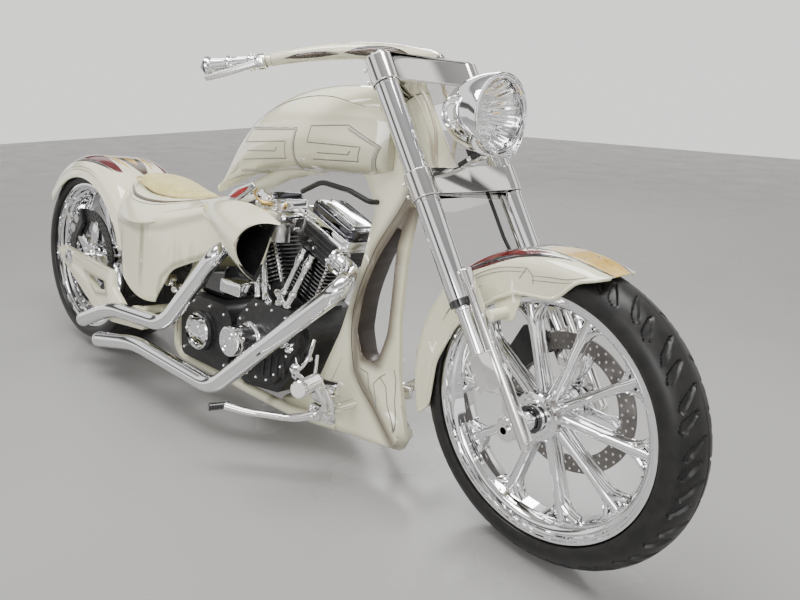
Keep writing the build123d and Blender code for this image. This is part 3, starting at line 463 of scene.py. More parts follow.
# painted shade under the seat dish's overhanging crease and along the side panel's lower arch
tailCream = creamPaint("tailCream", bikeSpace, [
    ([(180, 556), (306, 540), (452, 528), (593, 552), (707, 594), (800, 640)], 24, 0.4),
    ([(582, 332), (596, 388), (646, 436), (756, 486), (886, 524)], 16, 0.5)])
# painted shade along the front fender's lower edge
fenderCream = creamPaint("fenderCream", frontHub, [
    ([(240, -412), (206, -362), (124, -332), (72, -316), (26, -268), (-70, -262), (-120, -236), (-230, -146),
      (-286, -36), (-300, 84)], 12, 0.55)], 1)
# painted shade along the rear fender's lip
rearFenderCream = creamPaint("rearFenderCream", rearHub, [
    ([(235, -187), (120, -275), (0, -302), (-120, -276), (-212, -212), (-292, -60)], 16, 0.35)], 1)
# painted shade round the swingarm's slot and in a fainter line along the strut
armCream = creamPaint("armCream", bikeSpace, [
    ([(120, 316), (282, 304), (290, 262), (210, 250), (120, 316)], 15, 0.55),
    ([(-100, 362), (-60, 378), (315, 350)], 9, 0.3)])
# painted shade near the scoop's mouth
scoopCream = creamPaint("scoopCream", bikeSpace, [
    ([(1232, 640), (1150, 640), (1116, 590), (1126, 540), (1180, 492)], 11, 0.45)])
chrome = brightMetal("chrome", (0.86, 0.86, 0.87), 0.035, 0.03)
darkChrome = brightMetal("darkChrome", (0.10, 0.10, 0.11), 0.08, 0.04)
mirror = brightMetal("lampMirror", (0.93, 0.93, 0.94), 0.04, 0.02)
polished = brightMetal("polishedAlloy", (0.84, 0.83, 0.81), 0.09, 0.06)
satinMetal = brightMetal("satinAlloy", (0.62, 0.61, 0.60), 0.30, 0.14, 300.0)
finEdge = brightMetal("finEdge", (0.26, 0.26, 0.26), 0.24, 0.1)
steel = brightMetal("rotorSteel", (0.20, 0.19, 0.18), 0.30, 0.16, 260.0)
brass = brightMetal("brass", (0.62, 0.44, 0.18), 0.22, 0.1)
blackMetal = grained("blackCrinkle", (0.010, 0.010, 0.011), (0.020, 0.019, 0.019), 0.38, 900.0, 0.0003)
# soot black inside the pipe tips, also used as painted shade for the bore
sootAndShadeBlack = grained("pipeSootAndShade", (0.012, 0.011, 0.010), (0.03, 0.026, 0.022), 0.8, 600.0, 0.0003)
rubber = grained("tyreRubber", (0.0035, 0.0035, 0.0035), (0.011, 0.010, 0.009), 0.42, 500.0, 0.0002)
hose = grained("blackHose", (0.008, 0.008, 0.008), (0.014, 0.014, 0.014), 0.40, 700.0, 0.0001)
paleCable = grained("paleCable", (0.50, 0.44, 0.32), (0.60, 0.54, 0.42), 0.45, 300.0, 0.0002)
shadeBrown = grained("shadedBrown", (0.060, 0.042, 0.030), (0.030, 0.021, 0.016), 0.34, 60.0, 0.0001)
leather = grained("yellowLeather", (0.58, 0.50, 0.16), (0.68, 0.61, 0.25), 0.72, 420.0, 0.0006,
                  Sheen_Weight=0.35)
brownHide = grained("yellowPiping", (0.50, 0.40, 0.17), (0.60, 0.50, 0.24), 0.6, 500.0, 0.0003)
blackGloss = lacquer("blackGloss", (0.008, 0.008, 0.009), (0.014, 0.014, 0.015), 0.12, 0.03)
redLens = lacquer("redLens", (0.42, 0.01, 0.01), (0.30, 0.008, 0.008), 0.08, 0.03)
maroon = lacquer("maroonPaint", (0.075, 0.002, 0.005), (0.14, 0.004, 0.008), 0.12)
gold = lacquer("goldPaint", (0.62, 0.36, 0.03), (0.72, 0.47, 0.07), 0.22)
greyLine = lacquer("greyPinstripe", (0.16, 0.16, 0.13), (0.22, 0.22, 0.18), 0.14)
softGrey = lacquer("paleGreyStripe", (0.42, 0.42, 0.34), (0.50, 0.49, 0.40), 0.14)
brownLine = lacquer("brownPinstripe", (0.062, 0.040, 0.026), (0.11, 0.072, 0.048), 0.14)
artPaints = [maroon, blackGloss, gold, greyLine, brownLine]
# fine ribs pressed in the lamp's glass
glass = Paint("lampGlass", (1, 1, 1), 0.01, Transmission_Weight=1.0, IOR=1.45)
glass.bump((glass.place(forkSpace)[1] * 900).wave() * 0.5, 0.0003, 0.35)
# ribs across the belt
beltPaint = grained("ribbedBelt", (0.008, 0.008, 0.008), (0.02, 0.02, 0.02), 0.5, 600.0, 0.0002)
beltPaint.bump((beltPaint.place(rearHub)[0] * 560).wave() * 0.5, 0.0006, 0.6)
# small cells pressed in the hide
cells = leather.node("ShaderNodeTexVoronoi", {"feature": "DISTANCE_TO_EDGE"},
                     {"Vector": leather.coordinates, "Scale": 70.0})
leather.bump(cells.ramp(0.0, 0.12), 0.0012, 0.8)

finishes = {
    "body_paint": cream, "frame_paint": cream, "black_paint": blackMetal, "chrome": chrome,
    "polished_metal": polished, "rotor_steel": steel, "tyre_rubber": rubber, "hose_rubber": hose,
    "belt_rubber": beltPaint, "saddle_leather": leather, "headlamp_glass": glass, "lamp_lens": redLens}
for part in frame["record"]["subparts"]:
    mesh = nodes[part["node"]].data
    mesh.materials.clear()
    paint = tankCream if part["node"] == "fuel_tank" else finishes[part["material_slot"]]
    mesh.materials.append(paint.material)
print("materials made")


frontWheel = {"radius": 350, "half": 63, "crown": 70, "flange": 281, "rimHalf": 54, "spokes": 10,
              "treadPitch": 96, "treadDepth": 5.0, "steps": 720}
rearWheel = {"radius": 343, "half": 138, "crown": 400, "flange": 279, "rimHalf": 127, "spokes": 6,
             "treadPitch": 120, "treadDepth": 5.0, "steps": 600}
drilling = {"rows": 3, "hole": 3.6}


def closed(line):
    return line + line[:1]


def flipped(line):
    return [(r, -y) for r, y in reversed(line)]


def arcThrough(start, middle, end, count):
    # points on the circle through three points
    (ax, ay), (bx, by), (cx, cy) = start, middle, end
    d = 2 * (ax * (by - cy) + bx * (cy - ay) + cx * (ay - by))
    sumA, sumB, sumC = ax * ax + ay * ay, bx * bx + by * by, cx * cx + cy * cy
    midX = (sumA * (by - cy) + sumB * (cy - ay) + sumC * (ay - by)) / d
    midY = (sumA * (cx - bx) + sumB * (ax - cx) + sumC * (bx - ax)) / d
    radius = math.hypot(ax - midX, ay - midY)
    first, half, last = (math.atan2(y - midY, x - midX) for x, y in (start, middle, end))
    turn = (last - first) % (2 * math.pi)
    if (half - first) % (2 * math.pi) > turn:
        turn -= 2 * math.pi
    angles = [first + turn * step / count for step in range(count + 1)]
    return [(midX + radius * math.cos(angle), midY + radius * math.sin(angle)) for angle in angles]


def sunken(angle, across, wheel):
    # depth of the tread pattern, 0 to 1, at an angle round the tyre (radians) and a distance across it
    u = abs(across) / (wheel["half"] - 6)
    v = (angle * wheel["radius"] / wheel["treadPitch"] + (0.5 if across > 0 else 0)) % 1.0
    depth = 0.8 if u < 0.045 else 0.0
    for offset, low, high, bend, width in ((0.0, 0.08, 0.94, 0.46, 0.082), (0.50, 0.30, 0.99, 0.36, 0.100)):
        if low < u < high:
            s = (u - low) / (high - low)
            centre = (offset + bend * s ** 1.6) % 1.0
            gap = abs((v - centre + 0.5) % 1.0 - 0.5)
            reach = width * (0.35 + 1.3 * s) * min(1, 8 * (1 - s)) * min(1, 8 * s)
            if gap < reach:
                depth = max(depth, min(1, (reach - gap) / 0.018))
    return depth


def makeTyre(tag, wheel, space):
    # smooth walls with a raised ring, and grooves sunk in the tread
    top, half, inner, bead = wheel["radius"], wheel["half"], wheel["rimHalf"] - 6, wheel["flange"] - 13.7
    edge, lip = half - 6, wheel["flange"] + 1.5
    edgeRadius = top - wheel["crown"] + math.sqrt(wheel["crown"] ** 2 - edge ** 2)
    belly = (edgeRadius + bead) / 2
    tread = arcThrough((edgeRadius, -edge), (top, 0), (edgeRadius, edge), 44)
    right = arcThrough((bead, -inner), (belly, -half), (edgeRadius, -edge), 12)
    left = arcThrough((edgeRadius, edge), (belly, half), (bead, inner), 12)
    right, left = ([(max(r, lip) if abs(y) > inner - 1 and r < lip else r, y) for r, y in wall]
                   for wall in (right, left))
    ringed = [(r + (1.2 if 0.28 < (r - bead) / (edgeRadius - bead) < 0.36 else 0), y) for r, y in right[1:]]
    inside = [(bead, inner - 10), (edgeRadius - 16, edge - 8), (top - 12, 0), (edgeRadius - 16, 8 - edge),
              (bead, 10 - inner)]
    shape = Shape()
    shape.turned(closed([right[0]] + ringed + tread[1:] + left[1:] + inside), steps=wheel["steps"])
    for vert in shape.made.verts:
        radius, across = math.hypot(vert.co.x, vert.co.y), vert.co.z
        outside = top - 11 - (top - edgeRadius) * (abs(across) / edge) ** 1.2
        if abs(across) <= edge and radius > max(edgeRadius - 1, outside):
            around = math.atan2(vert.co.y, vert.co.x) % (2 * math.pi)
            dip = wheel["treadDepth"] * sunken(around, across, wheel)
            tilt = math.asin(max(-1, min(1, across / wheel["crown"])))
            vert.co.x -= dip * math.cos(tilt) * vert.co.x / radius
            vert.co.y -= dip * math.cos(tilt) * vert.co.y / radius
            vert.co.z -= dip * math.sin(tilt)
    shape.done(tag + "TyreTreaded", space, tag + "_wheel", [rubber], (tag + "_tyre",), 28)


def frontRim():
    # turned barrel with stepped lips, ribbed spokes that fan out at the rim, and a stepped hub
    shape = Shape()
    flange, half, spokes = frontWheel["flange"], frontWheel["rimHalf"], frontWheel["spokes"]
    face = [(flange, half - 1.2), (flange - 1.5, half), (flange - 7, half - 0.3), (flange - 8.5, half - 3),
            (flange - 13, half - 4), (flange - 14, half - 7), (flange - 19, half - 8),
            (flange - 20, half - 13),
            (flange - 27, half - 16), (flange - 30, half - 20), (flange - 34, half - 26),
            (flange - 37, half - 33),
            (flange - 40, 16)]
    outer = [(flange - 30, 20), (flange - 18, half - 16), (flange - 14, half - 7), (flange, half - 6)]
    shape.turned(closed(flipped(outer) + outer + face + flipped(face)), steps=160)
    hub = [(13, 66), (27, 66), (30, 64), (30, 61.5), (41, 61.5), (43, 59.5), (43, 55), (53, 53), (56, 50),
           (56, 34), (53, 31), (50, 30), (50, 24), (46, 22), (44, 0)]
    shape.turned(closed(mirrored(hub)), steps=72)
    for side in (1, -1):
        stations = [(42, 14), (70, 12.5), (120, 11), (170, 11), (205, 12), (243, 10.5)]
        shape.tube([(x, 0, side * (12 - 0.012 * (x - 42)), r) for x, r in stations], 8, 12, 5)
        shape.around(spokes)
        for bend in (1, -1):
            shape.tube([(186, 0, side * 11, 8), (208, bend * 6, side * 11, 7.5),
                        (227, bend * 19, side * 11, 6.5), (243, bend * 39, side * 10, 5.5)], 6, 10, 4)
            shape.around(spokes)
    web = [(44, -12), (120, -9), (188, -10), (212, -16), (231, -30), (243.5, -46), (246, -40)]
    shape.slab(mirrored(web), -7, 7, edge=1.5, segments=2)
    shape.around(spokes)
    for tilt in (-9, -3, 3, 9):
        for side in (1, -1):
            down = basis((flange - 33, 0, side * 26), alongY, Vector((-0.8, 0, side * 0.6)))
            shape.bolt(Matrix.Rotation(math.radians(tilt), 4, "Z") @ down, 3.0, 4.5, 8)
            shape.around(spokes)
    for side in (1, -1):
        shape.bolt(onHub(36, side * 61.4, side), 3.2, 2, 10)
        shape.around(5)
    shape.finish = 1
    cap = [(22.6, -66.4), (30, -66.4), (31, -67.5), (31, -72), (29, -74), (24, -74), (22.6, -72)]
    shape.turned(closed(cap), steps=56)
    shape.done("frontRimBillet", frontHub, "front_wheel", [chrome, blackGloss], ("front_rim",), 30)


def rearRim():
    # turned barrel, six flat spokes with a rib on each face, and a plain hub
    shape = Shape()
    flange, half, spokes = rearWheel["flange"], rearWheel["rimHalf"], rearWheel["spokes"]
    face = [(flange, half - 1.2), (flange - 1.5, half), (flange - 8, half - 0.3), (flange - 9, half - 5),
            (flange - 15, half - 6), (flange - 16, half - 13), (flange - 24, half - 16),
            (flange - 26, half - 24),
            (flange - 33, half - 30), (flange - 35, half - 52), (flange - 40, half - 64), (flange - 44, 36)]
    outer = [(flange - 34, 58), (flange - 20, half - 22), (flange - 14, half - 7), (flange, half - 6)]
    shape.turned(closed(flipped(outer) + outer + face + flipped(face)), steps=160)
    hub = [(13, 96), (36, 96), (39, 93), (40, 84), (50, 80), (52, 70), (52, 0)]
    shape.turned(closed(mirrored(hub)), steps=72)
    shape.slab(mirrored([(44, -21), (140, -17), (200, -22), (239, -36)]), -14, 14, rounded=2, edge=4)
    shape.around(spokes)
    for side in (1, -1):
        shape.slab(mirrored([(60, -6), (225, -8)]), side * 15 - 2, side * 15 + 2, edge=1.5)
        shape.around(spokes)
        for tilt in (-8, 0, 8):
            down = basis((flange - 35.5, 0, side * (half - 42)), alongY, -alongX)
            shape.bolt(Matrix.Rotation(math.radians(tilt), 4, "Z") @ down, 3.5, 4, 8)
            shape.around(12)
    shape.done("rearRimBillet", rearHub, "rear_wheel", [chrome], ("rear_rim",), 30)


def drilledRing(shape, inner, outer, thick, columns, lift):
    # a ring whose cells each carry a round hole, bridged from their square rims
    step = (outer - inner) / drilling["rows"]
    spread = math.pi / columns
    for row in range(drilling["rows"]):
        radius = inner + (row + 0.5) * step
        shape.begin()
        rim = []
        for a, r in ((-1, -1), (0, -1), (1, -1), (1, 0), (1, 1), (0, 1), (-1, 1), (-1, 0)):
            far = radius + r * step / 2
            rim.append(shape.made.verts.new((far * math.cos(a * spread), far * math.sin(a * spread),
                                             -thick / 2)))
        square = [shape.made.edges.new((rim[i], rim[(i + 1) % 8])) for i in range(8)]
        place = moved(radius, 0, -thick / 2) @ Matrix.Rotation(math.radians(225), 4, "Z")
        ring = bmesh.ops.create_circle(shape.made, segments=8, radius=drilling["hole"], matrix=place)["verts"]
        circle = list({edge for vert in ring for edge in vert.link_edges})
        faces = bmesh.ops.bridge_loops(shape.made, edges=square + circle)["faces"]
        raised = bmesh.ops.extrude_face_region(shape.made, geom=faces)["geom"]
        top = [bit for bit in raised if isinstance(bit, bmesh.types.BMVert)]
        bmesh.ops.translate(shape.made, verts=top, vec=(0, 0, thick))
        turn = Matrix.Rotation(math.radians((row % 2) * 180 / columns), 3, "Z")
        bmesh.ops.rotate(shape.made, cent=(0, 0, 0), matrix=turn, verts=shape.fresh())
        shape.put(lift)
        shape.around(columns)


def frontDisc():
    # drilled steel ring on a chrome carrier with five arms
    shape = Shape()
    lift = moved(0, 0, 78)
    drilledRing(shape, 126, 166, 5, 40, lift)
    shape.finish = 1
    shape.slab(mirrored([(34, -14), (60, -9), (98, -7), (118, -12), (136, -12)]), -2.5, 2.5, lift, 2, 0.8)
    shape.around(5)
    shape.turned([(16, 69.5), (34, 69.5), (36, 73), (52, 75), (52, 81), (16, 81), (16, 69.5)], steps=64)
    for side in (1, -1):
        shape.bolt(onHub(130, 78 + side * 2.4, side), 6, 3)
        shape.around(5)
    shape.bolt(moved(44, 0, 81), 4.5, 4)
    shape.around(5)
    shape.done("frontDiscDrilled", frontHub, "front_wheel", [steel, chrome], ("front_disc",),
               30)


def rearDisc():
    # black disc on a chrome flower of five petals
    shape = Shape()
    lift = moved(0, 0, -112)
    drilledRing(shape, 134, 176, 6, 42, lift)
    shape.finish = 1
    petal = [(30, -13), (60, -20), (92, -24), (124, -19), (144, -8), (148, 0)]
    shape.slab(mirrored(petal), -3, 3, lift, 3, 1.2)
    shape.around(5)
    carrier = [(16, -99.5), (46, -99.5), (48, -102), (48, -117), (44, -120), (30, -120), (28, -123),
               (16, -123)]
    shape.turned(closed(carrier), steps=72)
    shape.bolt(onHub(138, -115, -1), 6, 3.5)
    shape.around(5)
    shape.bolt(onHub(38, -119.5, -1), 4.5, 3)
    shape.around(5)
    shape.done("rearDiscDrilled", rearHub, "rear_wheel", [blackMetal, chrome], ("rear_disc",),
               30)


def rearPulley():
    # flanged black ring on a bright carrier, with eight bolts
    shape = Shape()
    ring = [(60, 143), (104, 143), (112, 143), (112, 145), (109, 145), (109, 157), (112, 157), (112, 159),
            (60, 159)]
    shape.turned(closed(ring), steps=140)
    shape.finish = 1
    carrier = [(16, 96.5), (64, 96.5), (64, 104), (50, 110), (50, 150), (64, 154), (70, 159.2), (58, 159.2),
               (34, 156), (16, 156)]
    shape.turned(closed(carrier), steps=72)
    shape.bolt(moved(82, 0, 158.5), 6, 1.2)
    shape.around(8)
    shape.done("rearPulleyToothed", rearHub, "rear_wheel", [blackMetal, polished],
               ("rear_pulley",), 30)


makeTyre("front", frontWheel, frontHub)
makeTyre("rear", rearWheel, rearHub)
frontRim()
rearRim()
frontDisc()
rearDisc()
rearPulley()
print("wheels made")


footUpright = bikeSpace.inverted() @ steerFoot
uprightFork = basis(footUpright, Vector((math.cos(rake), 0, math.sin(rake))),
                    Vector((-math.sin(rake), 0, math.cos(rake))))
steeredSpace = forkSpace @ uprightFork.inverted()  # upright design places, turned with the bars


def polar(reach, angle):
    # a point on a circle, by its angle in degrees
    return reach * math.cos(math.radians(angle)), reach * math.sin(math.radians(angle))


def rounded(corners, radii, steps=6):
    # an open line with each corner turned on its own radius
    line = [Vector(corners[0])]
    for before, corner, after, radius in zip(corners, corners[1:], corners[2:], radii[1:]):
        before, corner, after = Vector(before), Vector(corner), Vector(after)
        back, on = (before - corner).normalized(), (after - corner).normalized()
        bend = back.angle(on)
        reach = radius / math.tan(bend / 2) if radius else 0
        if reach < 0.5:
            line.append(corner)
            continue
        start, end = corner + back * reach, corner + on * reach
        for step in range(steps + 1):
            t = step / steps
            line.append(start * (1 - t) ** 2 + corner * 2 * t * (1 - t) + end * t * t)
    return line + [Vector(corners[-1])]


def angular(corners, pitch=9):
    # a line with sharp corners, as closely spaced points
    line = []
    for start, end in zip(corners, corners[1:]):
        start, end = Vector(start), Vector(end)
        count = max(1, round((end - start).length / pitch))
        line += [tuple(start.lerp(end, step / count)) for step in range(count)]
    return line + [tuple(corners[-1])]


def surfaceOf(node):
    # a CAD node's surface, ready for casts
    made = bmesh.new()
    made.from_mesh(nodes[node].data)
    tree = BVHTree.FromBMesh(made)
    made.free()
    return tree


def fromSide(space, side, flip=1):
    # aims at (x, height) from one side of the bike; flip -1 where the space's Y points down
    def aim(u, v):
        spot = (u, -v, side * 600) if flip < 0 else (u, side * 600, v)
        way = alongZ * -side if flip < 0 else alongY * -side
        return space @ (Vector(spot) / 1000), space.to_3x3() @ way
    return aim


def fromAbove(space):
    # aims straight down at (x, distance to the left)
    def aim(u, v):
        return space @ Vector((u / 1000, v / 1000, 1.3)), space.to_3x3() @ -alongZ
    return aim


def fromAhead(space, reach):
    # aims straight back at (distance to the left, height) from a place ahead
    def aim(u, v):
        return space @ (Vector((reach, u, v)) / 1000), space.to_3x3() @ -alongX
    return aim


def cast(tree, aim, u, v, lift):
    # where an aimed line meets a surface, lift millimetres off it
    origin, direction = aim(u, v)
    hit, normal, index, far = tree.ray_cast(origin, direction)
    if hit is None:
        return None
    return hit + (-normal if normal.dot(direction) > 0 else normal) * lift / 1000


def fromRim(space, back=0):
    # aims inwards at (degrees up from ahead, distance to the left) of a wheel's fender
    def aim(u, v):
        a = math.radians(u)
        way = Vector((math.cos(a), -math.sin(a), 0))
        return space @ (way * 0.6 + Vector((-back / 1000, 0, v / 1000))), space.to_3x3() @ -way
    return aim


paintLook = {"lift": 0.6, "film": 0.8}


def stripes(name, target, aim, lines, body, paints, lift=paintLook["lift"], steps=8):
    # painted lines laid on a surface: each is (points, width or widths, finish), cast along the aim
    tree = surfaceOf(target)
    shape = Shape()
    for points, widths, finish in lines:
        widths = widths if isinstance(widths, (list, tuple)) else [widths] * len(points)
        line = smoothLine([(*point, width) for point, width in zip(points, widths)], steps)
        across = max(1, round(max(widths) / 4))
        shape.begin()
        lost = []
        bmesh.ops.create_grid(shape.made, x_segments=len(line) - 1, y_segments=across, size=1)
        for vert in shape.fresh():
            step = round((vert.co.x + 1) / 2 * (len(line) - 1))
            spot, before, after = line[step], line[max(step - 1, 0)], line[min(step + 1, len(line) - 1)]
            way = Vector((after[0] - before[0], after[1] - before[1])).normalized()
            offset = Vector((-way.y, way.x)) * vert.co.y * spot[2] / 2
            laid = cast(tree, aim, spot[0] + offset.x, spot[1] + offset.y, lift)
            if laid is None:
                lost.append(vert)
            else:
                vert.co = laid
        bmesh.ops.delete(shape.made, geom=lost, context="VERTS")
        for face in shape.made.faces:
            face.material_index = finish
            middle = face.calc_center_median()
            face.normal_update()
            if tree.find_nearest(middle)[1].dot(face.normal) < 0:
                face.normal_flip()
    shape.begin()
    thing = pieceFrom(shape.whole, name, body, paints, (), 80)
    film = thing.modifiers.new("paintFilm", "SOLIDIFY")
    film.thickness = paintLook["film"] / 1000
    film.offset = -1


def sideStripes(name, target, space, flip, lines, body, paints, steps):
    # the same painted lines on the left and on the right
    for side, tag in ((1, "Left"), (-1, "Right")):
        stripes(name + tag, target, fromSide(space, side, flip), lines, body, paints, steps=steps)


def edgeBead(shape, target, aim, line, radius, sink=2.4, step=9):
    # a rolled bead along a line cast onto a surface
    tree = surfaceOf(target)
    spots = []
    for start, end in zip(line, line[1:]):
        run = end - start
        count = max(1, round(run.length / step))
        spots += [start + run * (i / count) for i in range(count)]
    laid = [cast(tree, aim, spot.x, spot.y, -sink) for spot in spots + [line[-1]]]
    shape.tube([spot * 1000 for spot in laid if spot is not None], radius, 10, 1)


def frontFender():
    # rolled edges, a painted crown and thin lines on the sides
    look = {"bead": 4.6, "edge": 1.4}
    dressed("front_fender", [fenderCream], look["edge"])
    lower = rounded([(206, 366), (124, 336), (72, 320), (26, 272), (-70, 266), (-120, 240), (-230, 150),
                     (-286, 40), (-300, -80), (-338, -118)], [0, 60, 60, 50, 20, 20, 120, 120, 40, 0])
    shape = Shape()
    for side in (1, -1):
        line = [spot + Vector((0, 2.5)) for spot in lower]
        edgeBead(shape, "front_fender", fromSide(frontHub, side, -1), line, look["bead"])
    shape.done("frontFenderBead", Matrix(), "steering", [cream])
    art = bothWays([
        ([(134, 55), (122, 61), (110, 62), (99, 57), (90, 50)], [8, 25, 26, 16, 1], 0),
        ([(131, 69), (117, 71), (103, 69), (91, 62), (80, 54)], [2, 5, 6, 7, 1], 1),
        ([(134, 43), (120, 45), (108, 45), (97, 43), (88, 44)], [1, 5, 6, 5, 1], 1),
        ([(112, 30), (104, 33), (96, 34), (90, 40), (84, 46), (75, 46), (68, 30)], [1, 5, 5, 5, 5, 5, 1], 1),
        ([(86, 14), (80, 24), (74, 14)], [2, 8, 2], 1)])
    art += [([(95, 0), (88, 0), (76, 0), (69, 0), (66, 0)], [30, 72, 84, 60, 20], 2),
            ([(140, 0), (124, 0), (108, 0), (98, 0)], [50, 70, 60, 20], 4)]
    stripes("frontFenderArt", "front_fender", fromRim(frontHub, 10), art, "steering", artPaints)
    fine = [1, 1.6, 1.6, 1]
    thin = [([(-228, 246), (-170, 288), (-110, 314), (-46, 326)], fine, 0),
            ([(-228, 237), (-170, 279), (-110, 305), (-46, 317)], fine, 0),
            ([(-30, 312), (10, 318), (50, 322), (90, 334)], fine, 0),
            ([(-30, 303), (6, 308), (40, 313), (70, 320)], fine, 0),
            ([(-46, 326), (-30, 312), (-26, 296)], 1.6, 0),
            ([(-62, 300), (-46, 326)], 1.6, 0),
            ([(-262, 170), (-236, 204), (-202, 234), (-160, 262)], fine, 0),
            ([(-270, 150), (-246, 188), (-212, 216), (-172, 246)], fine, 0)]
    sideStripes("frontFenderPinstripe", "front_fender", frontHub, -1, thin, "steering", [greyLine], 12)


def rearFender():
    # a painted crown, rolled edges and two thin arcs on each side
    look = {"bead": 4.2, "edge": 2.2, "lip": 303, "arcs": (330, 341)}
    dressed("rear_fender", [rearFenderCream], look["edge"])
    art = bothWays([
        ([(62, 84), (76, 96), (92, 102), (108, 92), (124, 70)], [2, 34, 44, 34, 1], 0),
        ([(64, 112), (80, 126), (96, 130), (110, 122), (122, 100)], [1, 7, 9, 8, 1], 1),
        ([(70, 66), (84, 74), (98, 76), (112, 66), (126, 48)], [1, 7, 9, 8, 1], 1),
        ([(66, 44), (80, 56), (94, 58), (108, 44)], [1, 16, 18, 1], 2)])
    art += [([(58, 0), (72, 0), (88, 0), (100, 0), (108, 0)], [10, 66, 88, 56, 4], 4),
            ([(70, 0), (80, 0), (92, 0), (100, 0)], [2, 34, 40, 2], 2),
            ([(82, 0), (88, 0), (94, 0)], [2, 14, 1], 1)]
    stripes("rearFenderArt", "rear_fender", fromRim(rearHub), art, "chassis", artPaints)
    shape = Shape()
    for side in (1, -1):
        line = [Vector(polar(look["lip"], angle)) for angle in range(34, 143, 3)]
        edgeBead(shape, "rear_fender", fromSide(rearHub, side, -1), line, look["bead"])
    shape.done("rearFenderBead", Matrix(), "chassis", [cream])
    thin = [([polar(reach, angle) for angle in (138, 120, 102, 84, 70)], [1, 1.8, 1.8, 1.8, 1], 0)
            for reach in look["arcs"]]
    sideStripes("rearFenderPinstripe", "rear_fender", rearHub, -1, thin, "chassis", [greyLine], 10)


def tankArt():
    # two angular nested panels and two short bars, outlined in grey; the panels have a paler band inside
    # a thin brown line follows the shoulder and two short grey ones the lower rear edge
    panels = [
        [(838, 764), (1120, 790), (1166, 906), (926, 896), (888, 852), (1112, 868), (1090, 822), (866, 800)],
        [(1186, 796), (1396, 806), (1430, 880), (1346, 924), (1222, 914), (1206, 872), (1380, 874),
         (1364, 838),
         (1208, 830)],
        [(900, 828), (1054, 838), (1066, 850)], [(1236, 848), (1340, 852), (1350, 862)]]
    lines = []
    for panel in panels:
        lines.append((angular(panel), 2.6, 0))
        if len(panel) > 3:
            middle = sum((Vector(point) for point in panel), Vector((0, 0))) / len(panel)
            band = angular([tuple(Vector(point) + (middle - Vector(point)).normalized() * 7)
                            for point in panel[:4]])
            lines.append((band, [1.5] + [7.5] * (len(band) - 2) + [1.5], 1))
    edges = [([(742, 724), (800, 742), (850, 756)], [0.6, 2.4, 0.6], 0),
             ([(760, 744), (806, 762), (840, 790)], [0.6, 2.4, 0.6], 0),
             ([(740, 770), (850, 858), (960, 930), (1110, 978), (1250, 992), (1380, 972)],
              [0.6, 2, 2.4, 2.4, 2, 0.6], 2)]
    paints = [greyLine, softGrey, brownLine]
    for side, tag in ((1, "Left"), (-1, "Right")):
        aim = fromSide(bikeSpace, side)
        stripes("tankPinstripe" + tag, "fuel_tank", aim, lines, "chassis", paints[:2], steps=2)
        stripes("tankShoulderLine" + tag, "fuel_tank", aim, edges, "chassis", paints, steps=14)


def bladeArt():
    # a brown line beside the ridge, a short grey one on the lower rail, and two claws under the teardrop hole
    lines = [([(1466, 908), (1520, 838), (1488, 748), (1408, 612), (1356, 440), (1382, 280), (1470, 190),
               (1528, 132)], [1, 2.2, 2.6, 2.6, 2.6, 2.6, 2, 0.8], 0),
             ([(1330, 300), (1290, 216), (1220, 160), (1150, 132)], [0.8, 1.8, 1.8, 0.8], 1)]
    claws = [[(1400, 290), (1424, 284), (1436, 248), (1476, 196), (1448, 260), (1462, 282), (1476, 294)],
             [(1462, 282), (1484, 262), (1500, 214), (1538, 152), (1516, 230), (1508, 288), (1498, 312)]]
    paints = [brownLine, greyLine]
    for side, tag in ((1, "Left"), (-1, "Right")):
        aim = fromSide(bikeSpace, side)
        stripes("bladePinstripe" + tag, "frame", aim, lines, "chassis", paints, steps=12)
        stripes("bladeClaws" + tag, "frame", aim, [(angular(claw), 2.4, 1) for claw in claws], "chassis",
                paints, steps=2)


def seatLine():
    # a brown line round the seat's dish and a thin grey one outside it
    half = [(262, 84), (300, 106), (360, 128), (440, 132), (520, 116), (590, 86), (650, 56), (720, 34),
            (780, 22)]
    lines = bothWays([(half, [4, 7, 9, 9, 9, 7, 6, 4, 1], 0)])
    lines += bothWays([([(x, y + 12) for x, y in half[1:-1]], [1, 1.5, 2, 2, 2, 1.5, 1], 1)])
    stripes("seatDishLine", "tail_body", fromAbove(bikeSpace), lines, "chassis", [brownLine, greyLine],
            steps=10)


def scoopInside(spot, way):
    # inner faces of the horn: those that look towards its middle line, which take black as painted shade inside
    # its mouth
    middle = Vector((0, -150 - 54 * min(1, (spot.x - 812) / 300), 640 - 60 * min(1, (spot.x - 812) / 320)))
    outward = Vector((0, spot.y - middle.y, spot.z - middle.z))
    return int(spot.x > 905 and outward.normalized().dot(way) < -0.2)


def holeWall(spot, way):
    # the inner wall of the teardrop hole, whose faces take the dark brown painted shade
    outline = [(1500, 736), (1466, 640), (1464, 400), (1444, 316), (1402, 320), (1375, 390), (1384, 500),
               (1420, 600)]
    if abs(way.y) > 0.5 or not 300 < spot.z < 745:
        return 0
    point = Vector((spot.x, spot.z))
    for start, end in zip(outline, outline[1:] + outline[:1]):
        start, end = Vector(start), Vector(end)
        run = end - start
        along = max(0, min(1, (point - start).dot(run) / run.length_squared))
        if (point - start - run * along).length < 9:
            return 1
    return 0


# the frame's hole wall takes shadeBrown as painted shade
dressed("frame", [bladeCream, shadeBrown], 2.6, chooser=holeWall)
dressed("tail_body", [tailCream], 1.8)
# the horn's inner faces take black as painted shade
dressed("air_scoop", [scoopCream, blackMetal], 2.4, chooser=scoopInside)
dressed("swingarm", [armCream], 1.8)
frontFender()
rearFender()
tankArt()
bladeArt()
seatLine()
print("painted body made")


crankAt, tilts = Vector((1100, 0, 282)), (22.5, -22.5)


def cylinderPlace(tilt):
    # Z up the cylinder from the crankshaft, X ahead of it
    return Matrix.Translation(crankAt) @ Matrix.Rotation(math.radians(tilt), 4, "Y")


